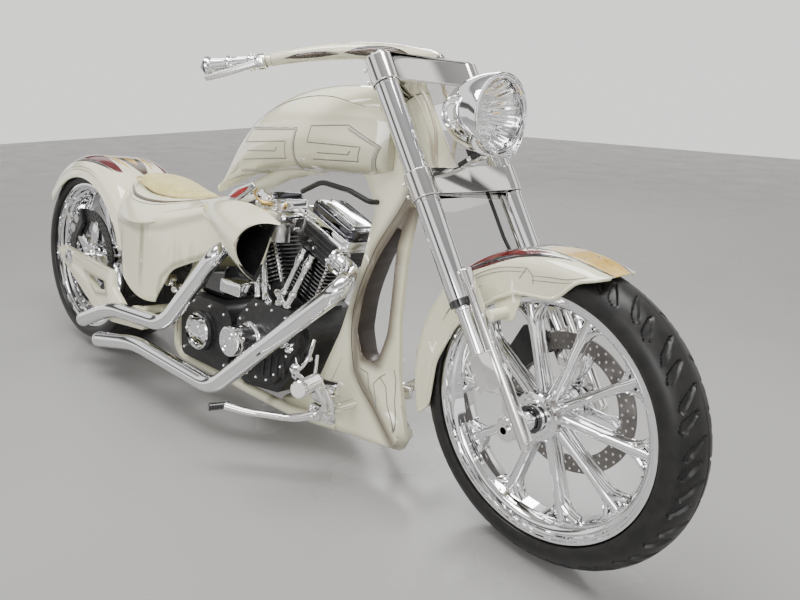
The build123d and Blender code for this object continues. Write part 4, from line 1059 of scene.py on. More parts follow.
def finRim(spot, way):
    # bright machined rims on the fins of whichever cylinder a face belongs to
    for tilt in tilts:
        local = cylinderPlace(tilt).inverted() @ spot
        up = cylinderPlace(tilt).to_3x3().inverted() @ way
        finned = 180 < local.z < 316 and abs(local.x) < 74 and abs(up.z) < 0.3
        if finned and max(abs(local.x) / 62, abs(local.y) / 67) > 0.97:
            return 1
    return 0


def cylinderHeads():
    # fins, plugs and bolts that dress the heads
    look = {"fins": 4, "finPitch": 14, "finThick": 3.2, "plug": 8}
    shape = Shape()
    for tilt in tilts:
        place = cylinderPlace(tilt)
        shape.finish = 0
        for step in range(look["fins"]):
            low = 322 + step * look["finPitch"]
            shape.slab(oblong(76, 81), low, low + look["finThick"], place, 18, 0.8)
        shape.finish = 1
        for x, y in ((-52, -60), (52, -60), (-52, 60), (52, 60)):
            shape.rod(place @ Vector((x, y, 178)), place @ Vector((x, y, 318)), 5.5, 12, edge=1)
        outside = -1 if tilt > 0 else 1
        plug = [place @ Vector((outside * x, y, z)) for x, y, z in ((20, -80, 350), (24, -104, 358),
                                                                    (23, -98, 356), (28, -126, 366))]
        shape.rod(plug[0], plug[1], look["plug"], 6, edge=1)
        shape.finish = 0
        shape.rod(plug[2], plug[3], 9, 16, tip=7, edge=1.5)
        shape.finish = 1
        for x in (-58, 0, 58):
            for side in (-1, 1):
                shape.bolt(place @ onSide(x, side * 80, 338, side), 5, 5)
    shape.done("cylinderHeadDress", bikeSpace, "chassis", [blackMetal, polished])


def rockerCovers():
    # stepped chrome covers with a bolted lid in dark chrome, a painted dark reflection on chrome, and a raised
    # chrome rib
    look = {"bolt": 5.2}
    shape = Shape()
    for tilt in tilts:
        place = cylinderPlace(tilt)
        shape.finish = 0
        shape.slab(oblong(99.5, 74.5), 382.3, 391, place, 24, 1.2)
        shape.slab(oblong(97, 72), 390.5, 410, place, 24, 1.6)
        shape.slab(oblong(99.5, 74.5), 409.5, 414, place, 24, 1.4)
        # the lid is chrome given as dark chrome: a painted dark reflection
        shape.finish = 1
        shape.slab(oblong(91, 63), 413.5, 440, place, 26, 7, 5)
        shape.finish = 0
        shape.slab(oblong(66, 38), 438, 445.5, place, 14, 3, 3)
        for x, y in ((-80, -55), (0, -58), (80, -55), (-80, 55), (0, 58), (80, 55), (-89, 0), (89, 0)):
            shape.bolt(place @ moved(x * 0.92, y * 0.90, 437), look["bolt"], 6)
    shape.done("rockerCoversStepped", bikeSpace, "chassis", [chrome, darkChrome], ("rocker_boxes",),
               30)


def pushrods():
    # slim tubes with stepped collars at both ends
    shape = Shape()
    for tilt in tilts:
        axis = cylinderPlace(tilt)
        for offset in (-18, 18):
            foot = Vector((1100 + tilt * 2 + offset, -107, 410.4))
            top = axis @ Vector((offset - tilt * 0.6, -82, 317))
            full = (top - foot).length
            place = basis(foot, alongY, top - foot)
            low = [(0, 3), (11, 3), (12, 5), (12, 10), (10, 13), (10, 40), (11.5, 42), (11.5, 50), (10, 53),
                   (8, 56)]
            top = [(8, 56), (10, 52), (10, 40), (12, 38), (12, 28), (10, 24), (10, 1), (0, 1)]
            shape.turned(low + [(r, full - z) for r, z in top], place, 24)
    shape.done("pushrodTubesCollared", bikeSpace, "chassis", [chrome], ("pushrod_tubes",), 30)


def timingCover():
    # round can with a necked foot and concentric rings on its flat end
    place = onSide(1030, -116.4, 290)
    shape = Shape()
    can = [(0, 0), (50, 0), (50, 9), (47, 12), (41, 15), (40, 22), (43, 30), (45, 38), (45, 80), (43.5, 84),
           (40, 86), (36, 86), (35, 84), (30, 84), (29, 85.5), (22, 85.5), (21, 83.5), (13, 83.5), (12, 85),
           (0, 85.5)]
    shape.turned(can, place, 80)
    shape.bolt(place @ moved(0, 45.5, 11), 3.5, 3)
    shape.around(6, place)
    shape.done("timingCanTurned", bikeSpace, "chassis", [chrome], ("timing_can",), 30)


def caseDress():
    # cover rims, ribs, bolts and fittings on the crankcase and gearbox, right side
    shape = Shape()
    outline = [(968, 200), (958, 330), (1024, 402), (1176, 402), (1226, 330), (1182, 246), (1126, 178),
               (1024, 166)]
    shape.finish = 1
    for start, end in zip(outline, outline[1:] + outline[:1]):
        for t in (0.12, 0.62):
            x, z = start[0] + (end[0] - start[0]) * t, start[1] + (end[1] - start[1]) * t
            x, z = x + (1090 - x) * 0.06, z + (290 - z) * 0.06
            shape.bolt(onSide(x, -115.5, z), 5, 5)
    shape.finish = 0
    for x in (1090, 1120, 1150, 1180):
        shape.slab([(x, 190 + (x - 1090) * 0.2), (x + 7, 190 + (x - 1090) * 0.2), (x + 7, 262), (x, 262)],
                   114, 120, standing, 2, 1)
    shape.finish = 2
    shape.turned([(0, 0), (30, 0), (32, 3), (32, 14), (29, 17), (22, 17), (20, 15), (8, 15), (7, 18),
                  (0, 18)], onSide(1168, -115, 330), 56)
    shape.turned([(0, 0), (58, 0), (60, 3), (60, 8), (56, 12), (40, 13), (38, 10), (22, 10), (20, 13),
                  (0, 13)], onSide(760, -119, 240), 72)
    for turn in range(6):
        a = math.radians(turn * 60)
        shape.bolt(onSide(760 + 50 * math.cos(a), -131, 240 + 50 * math.sin(a)), 4.5, 4)
    shape.turned([(0, 0), (40, 0), (42, 2), (42, 78), (40, 82), (34, 84), (32, 80), (12, 80), (0, 82)],
                 basis((1258, -30, 178), alongY, Vector((1, 0, 0.16))), 64)
    shape.slab([(906, 408), (1004, 408), (1004, 448), (906, 448)], 92, 152, standing, 8, 3)
    for x, low, high in ((1101, 404, 440), (1152, 414, 462)):
        shape.rod((x, -104, low), (x + 4, -140, high), 9, 20, edge=1.5)
        shape.rod((x + 1, -118, low + 10), (x + 2, -124, low + 18), 12, 6, edge=1)
    shape.finish = 2
    fittings = [((1214, -96, 246), (1232, -122, 252), 13), ((1222, -94, 212), (1262, -112, 224), 9),
                ((1196, -108, 300), (1204, -128, 306), 11), ((1234, -84, 284), (1270, -100, 290), 8),
                ((1242, -92, 186), (1252, -118, 180), 12)]
    for start, end, far in fittings:
        shape.rod(start, end, far, 20, edge=1.5)
        start, end = Vector(start), Vector(end)
        shape.rod(start.lerp(end, 0.45), start.lerp(end, 0.7), far * 1.25, 6, edge=1)
    shape.tube([(1232, -122, 252), (1262, -128, 264), (1276, -112, 300), (1262, -84, 340)], 5.5, 12, 6)
    shape.tube([(1252, -118, 180), (1282, -120, 196), (1290, -100, 240), (1276, -80, 300)], 5, 12, 6)
    shape.slab([(1196, 214), (1262, 196), (1270, 216), (1222, 240), (1206, 284), (1192, 276)], 92, 99,
               standing, 3, 2)
    shape.finish = 1
    for x, z in ((650, 150), (650, 290), (900, 150), (884, 330), (700, 338), (800, 340)):
        shape.bolt(onSide(x + (775 - x) * 0.10, -103.5, z + (240 - z) * 0.10), 5.5, 5)
    for x, z, far in ((560, 372, 16), (604, 352, 12), (642, 326, 14)):
        shape.rod((x, -96, z), (x + 16, -128, z - 6), far, 18, edge=2)
        shape.rod((x + 4, -104, z - 2), (x + 30, -108, z - 26), far * 0.55, 14, edge=1)
    shape.done("engineCaseDress", bikeSpace, "chassis", [blackMetal, polished, chrome])


def carburettorDress():
    # throat ring, float bowl, diaphragm cap, jets with a fuel line, and a bolted bracket
    look = {"jet": 5}
    shape = Shape()
    shape.finish = 0
    shape.turned([(26.5, 0), (34, 0), (35, 2), (35, 7), (31, 9), (30, 30), (34, 33), (34, 40), (26.5, 40),
                  (26.5, 0)], onSide(1100, -30, 652), 56)
    shape.turned([(0, -1), (30, -1), (31, 1), (31, 9), (28, 12), (0, 12)], moved(1100, -96, 634), 48)
    shape.turned([(0, 0), (20, 0), (24, 4), (24, 16), (18, 22), (0, 23)], moved(1100, -84, 676), 40)
    shape.finish = 1
    shape.rod((1076, -118, 668), (1060, -136, 676), look["jet"], 6, edge=0.8)
    shape.rod((1066, -100, 690), (1044, -126, 694), 7, 14, edge=1)
    shape.rod((1120, -104, 686), (1140, -116, 700), 6, 6, edge=0.8)
    shape.tube([(1044, -124, 694), (1030, -130, 704), (1010, -124, 716), (996, -104, 724)], 4, 10, 5)
    shape.finish = 2
    shape.slab([(980, 668), (1046, 690), (1052, 712), (1000, 728), (968, 700)], 84, 92, standing, 4, 1.5)
    for x, z in ((990, 690), (1034, 706)):
        shape.bolt(onSide(x, -92, z), 6, 5)
    shape.bolt(onSide(1144, -112, 668), 11, 12)
    shape.rod((1144, -60, 668), (1144, -113, 668), 8, 16, edge=1)
    shape.done("carburettorDress", bikeSpace, "chassis", [satinMetal, brass, chrome])


def sidePlates():
    # angular red and chrome plates between the seat's neck and the rear rocker box
    shape = Shape()
    shape.slab([(836, 676), (880, 712), (960, 742), (976, 730), (930, 700), (882, 672), (850, 664)], 92, 99,
               standing, 2, 1.5)
    shape.finish = 1
    shape.slab([(858, 684), (900, 712), (948, 728), (926, 706), (890, 686)], 98, 103, standing, 2, 1)
    shape.finish = 0
    shape.slab([(900, 674), (944, 700), (984, 712), (992, 698), (950, 680)], 96, 102, standing, 2, 1.2)
    shape.rod((880, -60, 690), (880, -93, 690), 6, 12)
    shape.rod((944, -40, 708), (944, -93, 708), 6, 12)
    shape.done("coilCoverPlates", bikeSpace, "chassis", [chrome, redLens])


def exhaustDress():
    # flanges with nuts at the ports, and rolled tips whose insides are sooty black, closed 54 mm in by a black
    # disc that is painted shade for the bore
    shape = Shape()
    for tilt, side, out in ((22.5, 1, -66), (-22.5, -1, -64)):
        place = cylinderPlace(tilt)
        port = place @ basis((side * 76, out, 350), alongZ, alongX * side)
        shape.finish = 0
        shape.turned([(26.8, 0), (38, 0), (40, 2), (40, 8), (38, 10), (30, 10), (29, 16), (26.8, 17),
                      (26.8, 0)], port, 48)
        for turn in (0.0, math.pi):
            shape.bolt(port @ moved(36 * math.cos(turn), 36 * math.sin(turn), 8), 5, 7, 6)
    for tip, before in (((310, -228, 106), (560, -224, 160)), ((190, -228, 150), (400, -225, 242))):
        place = basis(tip, alongY, Vector(before) - Vector(tip))
        shape.finish = 0
        shape.turned([(23.4, 1.2), (25, 0.2), (26.4, 0.6), (26.9, 3), (26.9, 9), (26.2, 11), (26.2, 2),
                      (23.4, 2), (23.4, 1.2)], place, 56)
        # the sleeve is soot, and the disc that closes it is painted shade
        shape.finish = 1
        shape.turned([(0, 54), (23.2, 54), (23.2, 2.2), (23.45, 2.2), (23.45, 56), (0, 56)], place, 48)
    shape.done("exhaustDress", bikeSpace, "chassis", [chrome, sootAndShadeBlack])


dressed("cylinders", [blackMetal, finEdge], 0, 40, finRim)
for node, paint, edge in (("crankcase", blackMetal, 2.2), ("gearbox", blackMetal, 2.2),
                          ("oil_tank", blackGloss, 2.0), ("carburettor", satinMetal, 1.2)):
    dressed(node, [paint], edge)
cylinderHeads()
rockerCovers()
pushrods()
timingCover()
caseDress()
carburettorDress()
sidePlates()
exhaustDress()
print("engine made")


barSeat = Vector((1450.7, 0, 1066.5))
legAcross = 144
lampPlace = basis((205, 0, 648), Vector((math.sin(rake), 0, math.cos(rake))),
                  Vector((math.cos(rake), 0, -math.sin(rake))))
# painted shade round the bar's slots
barCream = creamPaint("barCream", steeredSpace, [
    ([(1452, 50), (1422, 104), (1366, 160)], 22, 0.7), ([(1452, -50), (1422, -104), (1366, -160)], 22, 0.7),
    ([(1340, 184), (1262, 236)], 14, 0.6), ([(1340, -184), (1262, -236)], 14, 0.6)], 1)


def legSide(side):
    # a leg's side view: X ahead, Y up the fork, Z to the right
    return onSide(0, side * legAcross, 0)


def forkLegs():
    # rounded bar with a tapered foot, a clamp round the slider and small bolts
    look = {"half": 14, "round": 8, "bolt": 4.2}
    shape = Shape()
    for side in (1, -1):
        flat = legSide(side)
        shape.slab([(84, 345), (104, 345), (106, -38), (97, -52), (80, -52), (78, 40), (80, 150)],
                   -look["half"], look["half"], flat, 6, look["round"], 5)
        shape.slab(mirrored([(30, -20), (66, -22), (98, -16)]), 86, 166, moved(0, side * legAcross, 0), 5, 3)
        shape.turned([(12.7, -12), (24, -12), (26, -10), (26, 10), (24, 12), (12.7, 12), (12.7, -12)],
                     flat @ moved(60, 0, 0), 48)
        shape.slab([(78, -34), (92, -34), (92, 74), (84, 82), (66, 34), (72, 24), (86, 4), (84, -12)], -9, 9,
                   flat, 3, 4, 4)
        for up in (98, 125, 152):
            shape.bolt(basis((34, side * (legAcross + 14), up), alongZ, alongY * side), look["bolt"], 8)
        for up in (300, 236, 176):
            place = basis((104 - up * 0.004, side * (legAcross + 7), up), alongZ,
                          Vector((0.8, side * 0.6, 0)))
            shape.bolt(place, look["bolt"], 5)
    shape.done("forkLegsBillet", forkSpace, "steering", [polished], ("fork_legs",), 32)


def forkDress():
    # caps, rings and seals on the fork tubes, the stem nut and the trees' clamp bolts
    shape = Shape()
    for side in (1, -1):
        at = moved(54, side * legAcross, 0)
        shape.finish = 0
        shape.turned([(0, 873.5), (23, 873.5), (25.5, 874.5), (25.5, 877), (23, 879), (17, 879), (16, 877),
                      (9, 877), (0, 878.5)], at, 48)
        shape.turned([(27.4, 800), (29, 801), (29, 804), (27.4, 805.5)], at, 48)
        shape.turned([(27.4, 514), (29.5, 515), (29.5, 521), (27.4, 521.8)], at, 48)
        shape.turned([(19.1, 262), (21.5, 262), (22, 263.5), (22, 270), (19.1, 271.5), (19.1, 262)], at, 48)
        shape.finish = 1
        shape.turned([(19.2, 272), (26, 272), (28.4, 274), (28.4, 287), (27.4, 288.2), (19.2, 288.2),
                      (19.2, 272)], at, 48)
        shape.finish = 2
        for low in (522, 806):
            for rise in (18, 48):
                shape.bolt(basis((30, side * 168, low + rise), alongZ, Vector((-0.8, side * 0.6, 0))), 5, 5)
    shape.finish = 2
    shape.turned([(0, 0), (17, 0), (19, 2), (19, 9), (15, 14), (0, 15)], moved(0, 0, 871.5), 40)
    shape.bolt(moved(0, 0, 886), 8, 4, 6)
    shape.done("forkCapsAndSeals", forkSpace, "steering", [chrome, blackGloss, polished])


def lampInside():
    # fluted mirror bowl, bulb shield, trim ring, side rings and the bracket's clamp
    look = {"flutes": 18, "depth": 1.6}
    shape = Shape()
    bowl = [(83.2, -6), (80, -8), (74, -16), (66, -26), (56, -36), (45, -45), (33, -52), (20, -57), (8, -59),
            (0, -59.5), (0, -62), (20, -60), (45, -48), (66, -29), (80, -11), (83.6, -9)]
    shape.turned(closed(bowl), steps=144)
    for vert in shape.made.verts:
        radius = math.hypot(vert.co.x, vert.co.y)
        wave = math.cos(look["flutes"] * math.atan2(vert.co.y, vert.co.x))
        vert.co.z += look["depth"] * wave * min(1, radius / 30) * min(1, (83.2 - radius) / 10)
    shape.put(lampPlace)
    shape.turned([(0, -20), (6, -20.5), (11, -24), (12, -28), (12, -34), (10, -34), (9.5, -58), (0, -58)],
                 lampPlace, 40)
    shape.finish = 1
    shape.turned([(83.9, 1), (83.9, 8), (82.5, 9.6), (80, 9.6), (78.4, 8), (78, 3.2), (80, 1), (83.9, 1)],
                 lampPlace, 96)
    for side in (1, -1):
        at = lampPlace @ basis((0, side * 74, -60), alongZ, alongY * side)
        shape.turned([(0, 9), (17, 9), (19, 10.5), (23, 10.5), (25, 8.5), (29, 8.5), (31, 10), (34, 9),
                      (36, 5), (36, -8)], at, 72)
    for turn in range(3):
        a = math.radians(90 + turn * 120)
        shape.bolt(lampPlace @ moved(81 * math.cos(a), 81 * math.sin(a), 9.4), 2.2, 1.6, 8)
    shape.finish = 2
    shape.slab(mirrored([(70, -26), (128, -18), (140, 0)]), 588.6, 600, rounded=5, edge=2)
    shape.slab(mirrored([(96, -13), (132, -13)]), 598, 622, rounded=4, edge=2)
    shape.rod((122, -24, 611), (122, 24, 611), 8, 24, edge=1)
    shape.turned([(0, 0), (15, 0), (16, 2), (16, 12), (0, 12)],
                 lampPlace @ basis((-64, 0, -74), alongY, Vector((-0.8, 0, -0.6))), 32)
    shape.done("headlampInside", forkSpace, "steering", [mirror, chrome, blackMetal])


def gripLine(side):
    # where a grip starts, the way it runs out, and the way ahead of it
    inner = barSeat + Vector((-262, side * 288, 2))
    outward = Vector((-84, side * 84, -17)).normalized()
    return inner, outward, outward.cross(alongZ * side).normalized()


def fluted(shape, profile, place, count, depth, zones, sides):
    # a turned piece with flutes along it between the given heights
    shape.turned(profile, Matrix(), sides)
    for vert in shape.made.verts:
        if any(low < vert.co.z < high for low, high in zones):
            scale = 1 - depth * max(0.0, math.cos(count * math.atan2(vert.co.y, vert.co.x))) ** 0.6
            vert.co.x *= scale
            vert.co.y *= scale
    shape.put(place)


def gripPair():
    # fluted grips with ringed collars and a faceted end
    shape = Shape()
    grip = [(0, 0), (17, 0), (18.5, 1), (18.5, 6), (17, 7.5), (20.5, 10), (21, 12), (20.5, 14), (16.4, 17),
            (15.4, 19), (15.8, 30), (16.6, 44), (18, 57), (19, 60), (21.5, 64), (22, 66), (21.5, 68),
            (17, 71), (16, 73), (16.4, 84), (17.4, 98), (19, 107), (21, 110), (24, 114), (25, 117),
            (25, 121), (24, 122.5), (21, 123), (0, 123)]
    for side in (1, -1):
        inner, outward, ahead = gripLine(side)
        place = basis(inner + outward * 0.3, ahead, outward)
        shape.finish = 0
        fluted(shape, grip, place, 12, 0.13, [(18, 59), (72, 109)], 96)
        shape.finish = 1
        shape.turned([(23.4, 122.6), (21, 126), (0, 140), (0, 122.6)], place, 8)
    shape.done("gripsFluted", steeredSpace, "steering", [chrome, darkChrome], ("grips",), 32)


def leverPair():
    # perch ring with its clamp and cap, and a flat polished lever blade
    shape = Shape()
    for side in (1, -1):
        inner, outward, ahead = gripLine(side)
        start = inner - outward * 26
        at = basis(start, ahead, outward)
        shape.finish = 0
        shape.turned([(15.4, 0), (18, 0), (19, 1), (19, 19), (18, 20), (15.4, 20), (15.4, 0)], at, 48)
        flat = basis(start + outward * 10, outward, ahead)
        rise = 1 if (flat.to_3x3() @ alongY).z > 0 else -1
        shape.slab(mirrored([(-10, -9), (12, -9)]), 15, 38, flat, 3, 2)
        shape.bolt(flat @ moved(1, rise * 4, 38), 4, 3)
        outline = [(-8, 5), (10, 5), (50, -6), (96, -15), (132, -22), (139, -28), (134, -35), (96, -30),
                   (50, -22), (8, -12), (-8, -8)]
        shape.finish = 1
        shape.slab([(x, rise * y) for x, y in outline], 30, 37.5, flat, 1.5, 2.4, 4)
        shape.rod(flat @ Vector((2, rise * -16, 34)), flat @ Vector((2, rise * 12, 34)), 5, 20, edge=1)
    shape.done("leversAndPerches", steeredSpace, "steering", [chrome, satinMetal],
               ("levers",), 32)


def barSlots():
    # painted shade standing for the slots along the bar's front, brown inside a dark line, and a thin brown line
    # of painted shade under them
    aim = fromAhead(steeredSpace, 1752)
    high = barSeat.z + 36
    art, inside = [], []
    for side in (1, -1):
        first, second, under = ([(side * u, high + v) for u, v in line] for line in (
            [(44, 1), (74, 3), (112, 3), (146, 0), (172, -5)],
            [(180, -8), (204, -10), (232, -16), (254, -23)],
            [(60, -15), (112, -15), (170, -21), (230, -32)]))
        # under is a thin line of painted shade below the slots
        art += [(first, [1, 20, 23, 18, 1], 1), (second, [1, 13, 12, 1], 1), (under, [1, 4, 4, 1], 0)]
        inside += [(first, [0.5, 11, 13, 9, 0.5], 0), (second, [0.5, 6, 5, 0.5], 0)]
    stripes("handlebarSlotShade", "handlebar", aim, art, "steering", [brownLine, blackGloss], steps=8)
    stripes("handlebarSlotFloorShade", "handlebar", aim, inside, "steering", [brownLine], lift=1.1, steps=8)


def cables():
    # short cables behind the headlamp and a round gauge between them
    shape = Shape()
    shape.tube([(30, 97, 524), (26, 60, 540), (30, 20, 560), (60, 6, 575)], 5, 12, 8)
    for side in (1, -1):
        outer = [(20, 36, 878), (38, 44, 840), (60, 40, 780), (52, 34, 700), (20, 30, 640), (6, 26, 592)]
        inner = [(14, 52, 880), (30, 58, 830), (48, 54, 770), (40, 46, 690), (12, 34, 640), (4, 20, 592)]
        for line, radius, sides in ((outer, 4.2, 12), (inner, 3.2, 10)):
            shape.tube([(x, side * y, z) for x, y, z in line], radius, sides, 8)
    shape.finish = 1
    gauge = [(0, -14), (19, -14), (21, -12), (21, 12), (19, 14), (0, 14)]
    shape.turned(gauge, moved(30, 0, 838) @ standing, 40)
    shape.done("barCables", forkSpace, "steering", [paleCable, blackGloss])


def caliperDress(name, space, body, spots, side, face):
    # piston caps, bolts and a bleed nipple on a caliper's outer face
    shape = Shape()
    out = alongY * side
    for x, z in spots:
        at = basis((x, face, z), alongX, out)
        shape.turned([(0, -1), (17, -1), (18, 0), (18, 3), (16, 4), (13, 4), (12, 3), (0, 3)], at, 40)
        shape.bolt(at @ moved(0, 0, 2.6), 5, 2.4, 6)
    first, last = (Vector((x, face, z)) for x, z in spots)
    run = (last - first).normalized()
    for spot in (first - run * 27, last + run * 27):
        shape.bolt(basis(spot, alongX, out), 5.5, 5)
    shape.rod(last + run * 22 + out * 2, last + run * 34 + out * 8, 3.4, 12, edge=0.6)
    shape.done(name, space, body, [satinMetal])


dressed("handlebar", [barCream], 1.5)
dressed("headlamp_shell", [chrome], 0.8, 30)
for node, paint, edge in (("top_tree", polished, 3.0), ("bottom_tree", polished, 3.0),
                          ("fork_tubes", chrome, 1.5), ("fork_sliders", chrome, 1.0),
                          ("front_caliper", blackMetal, 3.0)):
    dressed(node, [paint], edge)
forkLegs()
forkDress()
lampInside()
gripPair()
leverPair()
barSlots()
cables()
caliperDress("frontCaliperCaps", frontHub @ standing, "steering", [(-142, 84), (-110, 118)], 1, 102)
print("front end made")


seatLook = {"smaller": 3, "voxel": 5, "pressure": 4.0, "cap": 6, "piping": 3.2}


def frozen(thing):
    # the object's modifiers worked into its mesh
    graph = bpy.context.evaluated_depsgraph_get()
    mesh = bpy.data.meshes.new_from_object(thing.evaluated_get(graph), depsgraph=graph)
    thing.modifiers.clear()
    old, thing.data = thing.data, mesh
    bpy.data.meshes.remove(old)


def seatPadding():
    # the CAD pad a little smaller, evened out, blown up by cloth pressure above and rounded off
    made = bmesh.new()
    made.from_mesh(nodes["seat_pad"].data)
    bmesh.ops.remove_doubles(made, verts=made.verts, dist=0.00005)
    made.normal_update()
    for vert in made.verts:
        vert.co -= vert.normal * seatLook["smaller"] / 1000
    pad = pieceFrom(made, "seatPadSuede", "chassis", [leather], ("seat_pad",), 180)
    remesh = pad.modifiers.new("evenMesh", "REMESH")
    remesh.mode = "VOXEL"
    remesh.voxel_size = seatLook["voxel"] / 1000
    remesh.use_smooth_shade = True
    frozen(pad)
    before = [vert.co.copy() for vert in pad.data.vertices]
    below = [vert.normal.z < 0.05 for vert in pad.data.vertices]
    cloth = pad.modifiers.new("padding", "CLOTH")
    cloth.settings.use_pressure = True
    cloth.settings.uniform_pressure_force = seatLook["pressure"]
    cloth.settings.effector_weights.gravity = 0
    scene = bpy.context.scene
    for step in range(1, 21):
        scene.frame_set(step)
    frozen(pad)
    scene.frame_set(1)
    for vert, start, under in zip(pad.data.vertices, before, below):
        move = vert.co - start
        if under:
            vert.co = start
        elif move.length > seatLook["cap"] / 1000:
            vert.co = start + move.normalized() * seatLook["cap"] / 1000
    pad.data.shade_smooth()
    finer = pad.modifiers.new("finer", "SUBSURF")
    finer.levels = finer.render_levels = 1
    frozen(pad)


def seatSeam():
    # piped edge round the pad
    shape = Shape()
    half = [(252, 0, 684), (256, 40, 684), (274, 76, 682), (310, 95, 677), (350, 104, 671), (395, 108, 662),
            (440, 108.5, 652), (490, 99, 646), (540, 84, 644), (590, 60, 648), (630, 36, 656), (660, 14, 662),
            (668, 0, 663)]
    loop = half + [(x, -y, z) for x, y, z in reversed(half[:-1])]
    shape.tube(loop, seatLook["piping"], 10, 4)
    shape.done("seatPiping", bikeSpace, "chassis", [brownHide])


seatPadding()
seatSeam()
print("seat made")


def primaryDress():
    # bolts round the rim, two round hatches and ribs on the primary cover
    look = {"bolt": 5.2, "hatch": 62, "ribs": 5, "ribPitch": 20}
    outline = [(664, 262), (676, 330), (760, 342), (900, 354), (1040, 368), (1176, 378), (1206, 290),
               (1154, 190), (1060, 180), (930, 180), (790, 182), (700, 224)]
    shape = Shape()
    shape.finish = 1
    for x, z in outline:
        shape.bolt(onSide(x, 212, z, 1), look["bolt"], 4.5)
    shape.finish = 0
    shape.turned([(0, 0), (56, 0), (look["hatch"], 2), (look["hatch"], 7), (58, 11), (50, 11), (48, 8),
                  (20, 8), (18, 11), (0, 11.5)], onSide(780, 211.5, 262, 1), 80)
    for turn in range(5):
        a = math.radians(18 + turn * 72)
        shape.bolt(onSide(780 + 54 * math.cos(a), 222, 262 + 54 * math.sin(a), 1), 4.2, 3)
    shape.turned([(0, 0), (74, 0), (80, 2), (80, 6), (74, 9), (30, 9), (26, 12), (0, 12.5)],
                 onSide(1100, 211.5, 276, 1), 88)
    for row in range(look["ribs"]):
        low = 222 + row * look["ribPitch"]
        rib = [(880, low), (990, low + 3), (990, low + 9), (880, low + 6)]
        shape.slab(rib, -216.5, -210, standing, 2.4, 1.6)
    shape.done("primaryCoverDress", bikeSpace, "chassis", [chrome, polished])


def rearEnd():
    # axle nuts, the tail lamp's frame and bars, and the caliper's caps
    look = {"lamp": (-140.6, -131.4), "halfWidth": 54, "barPitch": 10}
    shape = Shape()
    inside = rearHub.inverted()
    reach = max(abs((inside @ vert.co).z) for vert in nodes["rear_axle"].data.vertices) * 1000 + 4
    for side in (1, -1):
        place = onHub(0, side * reach, side)
        shape.turned([(6.4, -0.5), (26, -0.5), (27, 0.5), (27, 2.5), (26, 3.5), (6.4, 3.5), (6.4, -0.5)],
                     place, 48)
        shape.turned([(6.4, 3.4), (21, 3.4), (21, 10), (18.5, 12.5), (6.4, 12.5), (6.4, 3.4)], place, 6)
    (low, high), wide = look["lamp"], look["halfWidth"]
    corners = [Vector((*polar(391.5, angle), across)) for angle, across in (
        (low, -wide), (low, wide), (high, wide), (high, -wide), (low, -wide))]
    for start, end in zip(corners, corners[1:]):
        shape.rod(start, end, 3.6, 12)
        shape.ball(start, 3.6, 12)
    for across in range(-40, 41, look["barPitch"]):
        shape.rod((*polar(394.4, low + 0.9), across), (*polar(394.4, high - 0.9), across), 0.9, 8)
    shape.done("rearAxleAndLampTrim", rearHub, "chassis", [chrome])
    caliperDress("rearCaliperCaps", rearHub @ standing, "chassis", [(-112, 92), (-84, 132)], -1, -130)


def standDress():
    # coil spring with its hooks, and a curved toe tab on the side stand
    look = {"turns": 11, "pitch": 5.2, "coil": 6, "wire": 1.5}
    pivot, foot = Vector((1040, 150, 118)), Vector((1090, 335, 61))
    run = (foot - pivot).normalized()
    side = run.cross(alongZ).normalized()
    across = side.cross(run)
    start = pivot + run * 34 + side * 20
    shape = Shape()
    coil = []
    for step in range(look["turns"] * 12 + 1):
        u, v = polar(look["coil"], step * 30)
        coil.append(start + run * (step / 12 * look["pitch"]) + side * u + across * v)
    shape.tube(coil, look["wire"], 8, 1)
    shape.tube([start - run * 16 - side * 6, start - run * 6, start], look["wire"], 8, 4)
    shape.tube([start + run * 57, start + run * 64, start + run * 74 - side * 8], look["wire"], 8, 4)
    shape.rod(pivot + run * 108 + side * 4, pivot + run * 108 + side * 16, 3, 12, edge=0.6)
    shape.finish = 1
    shape.tube([pivot + run * 150, pivot + run * 158 + Vector((26, 0, 8)),
                pivot + run * 176 + Vector((44, 0, 14))], 5, 12, 6)
    shape.ball(pivot + run * 176 + Vector((44, 0, 14)), 6.5)
    shape.turned([(11.2, 0), (14, 0.5), (14, 4), (11.2, 5)], basis(pivot + run * 24, alongX, run), 32)
    shape.turned([(11.2, 0), (13, 0.5), (13, 4), (11.2, 5)], basis(pivot + run * 186, alongX, run), 32)
    shape.done("standSpringAndTab", bikeSpace, "side_stand", [steel, chrome])


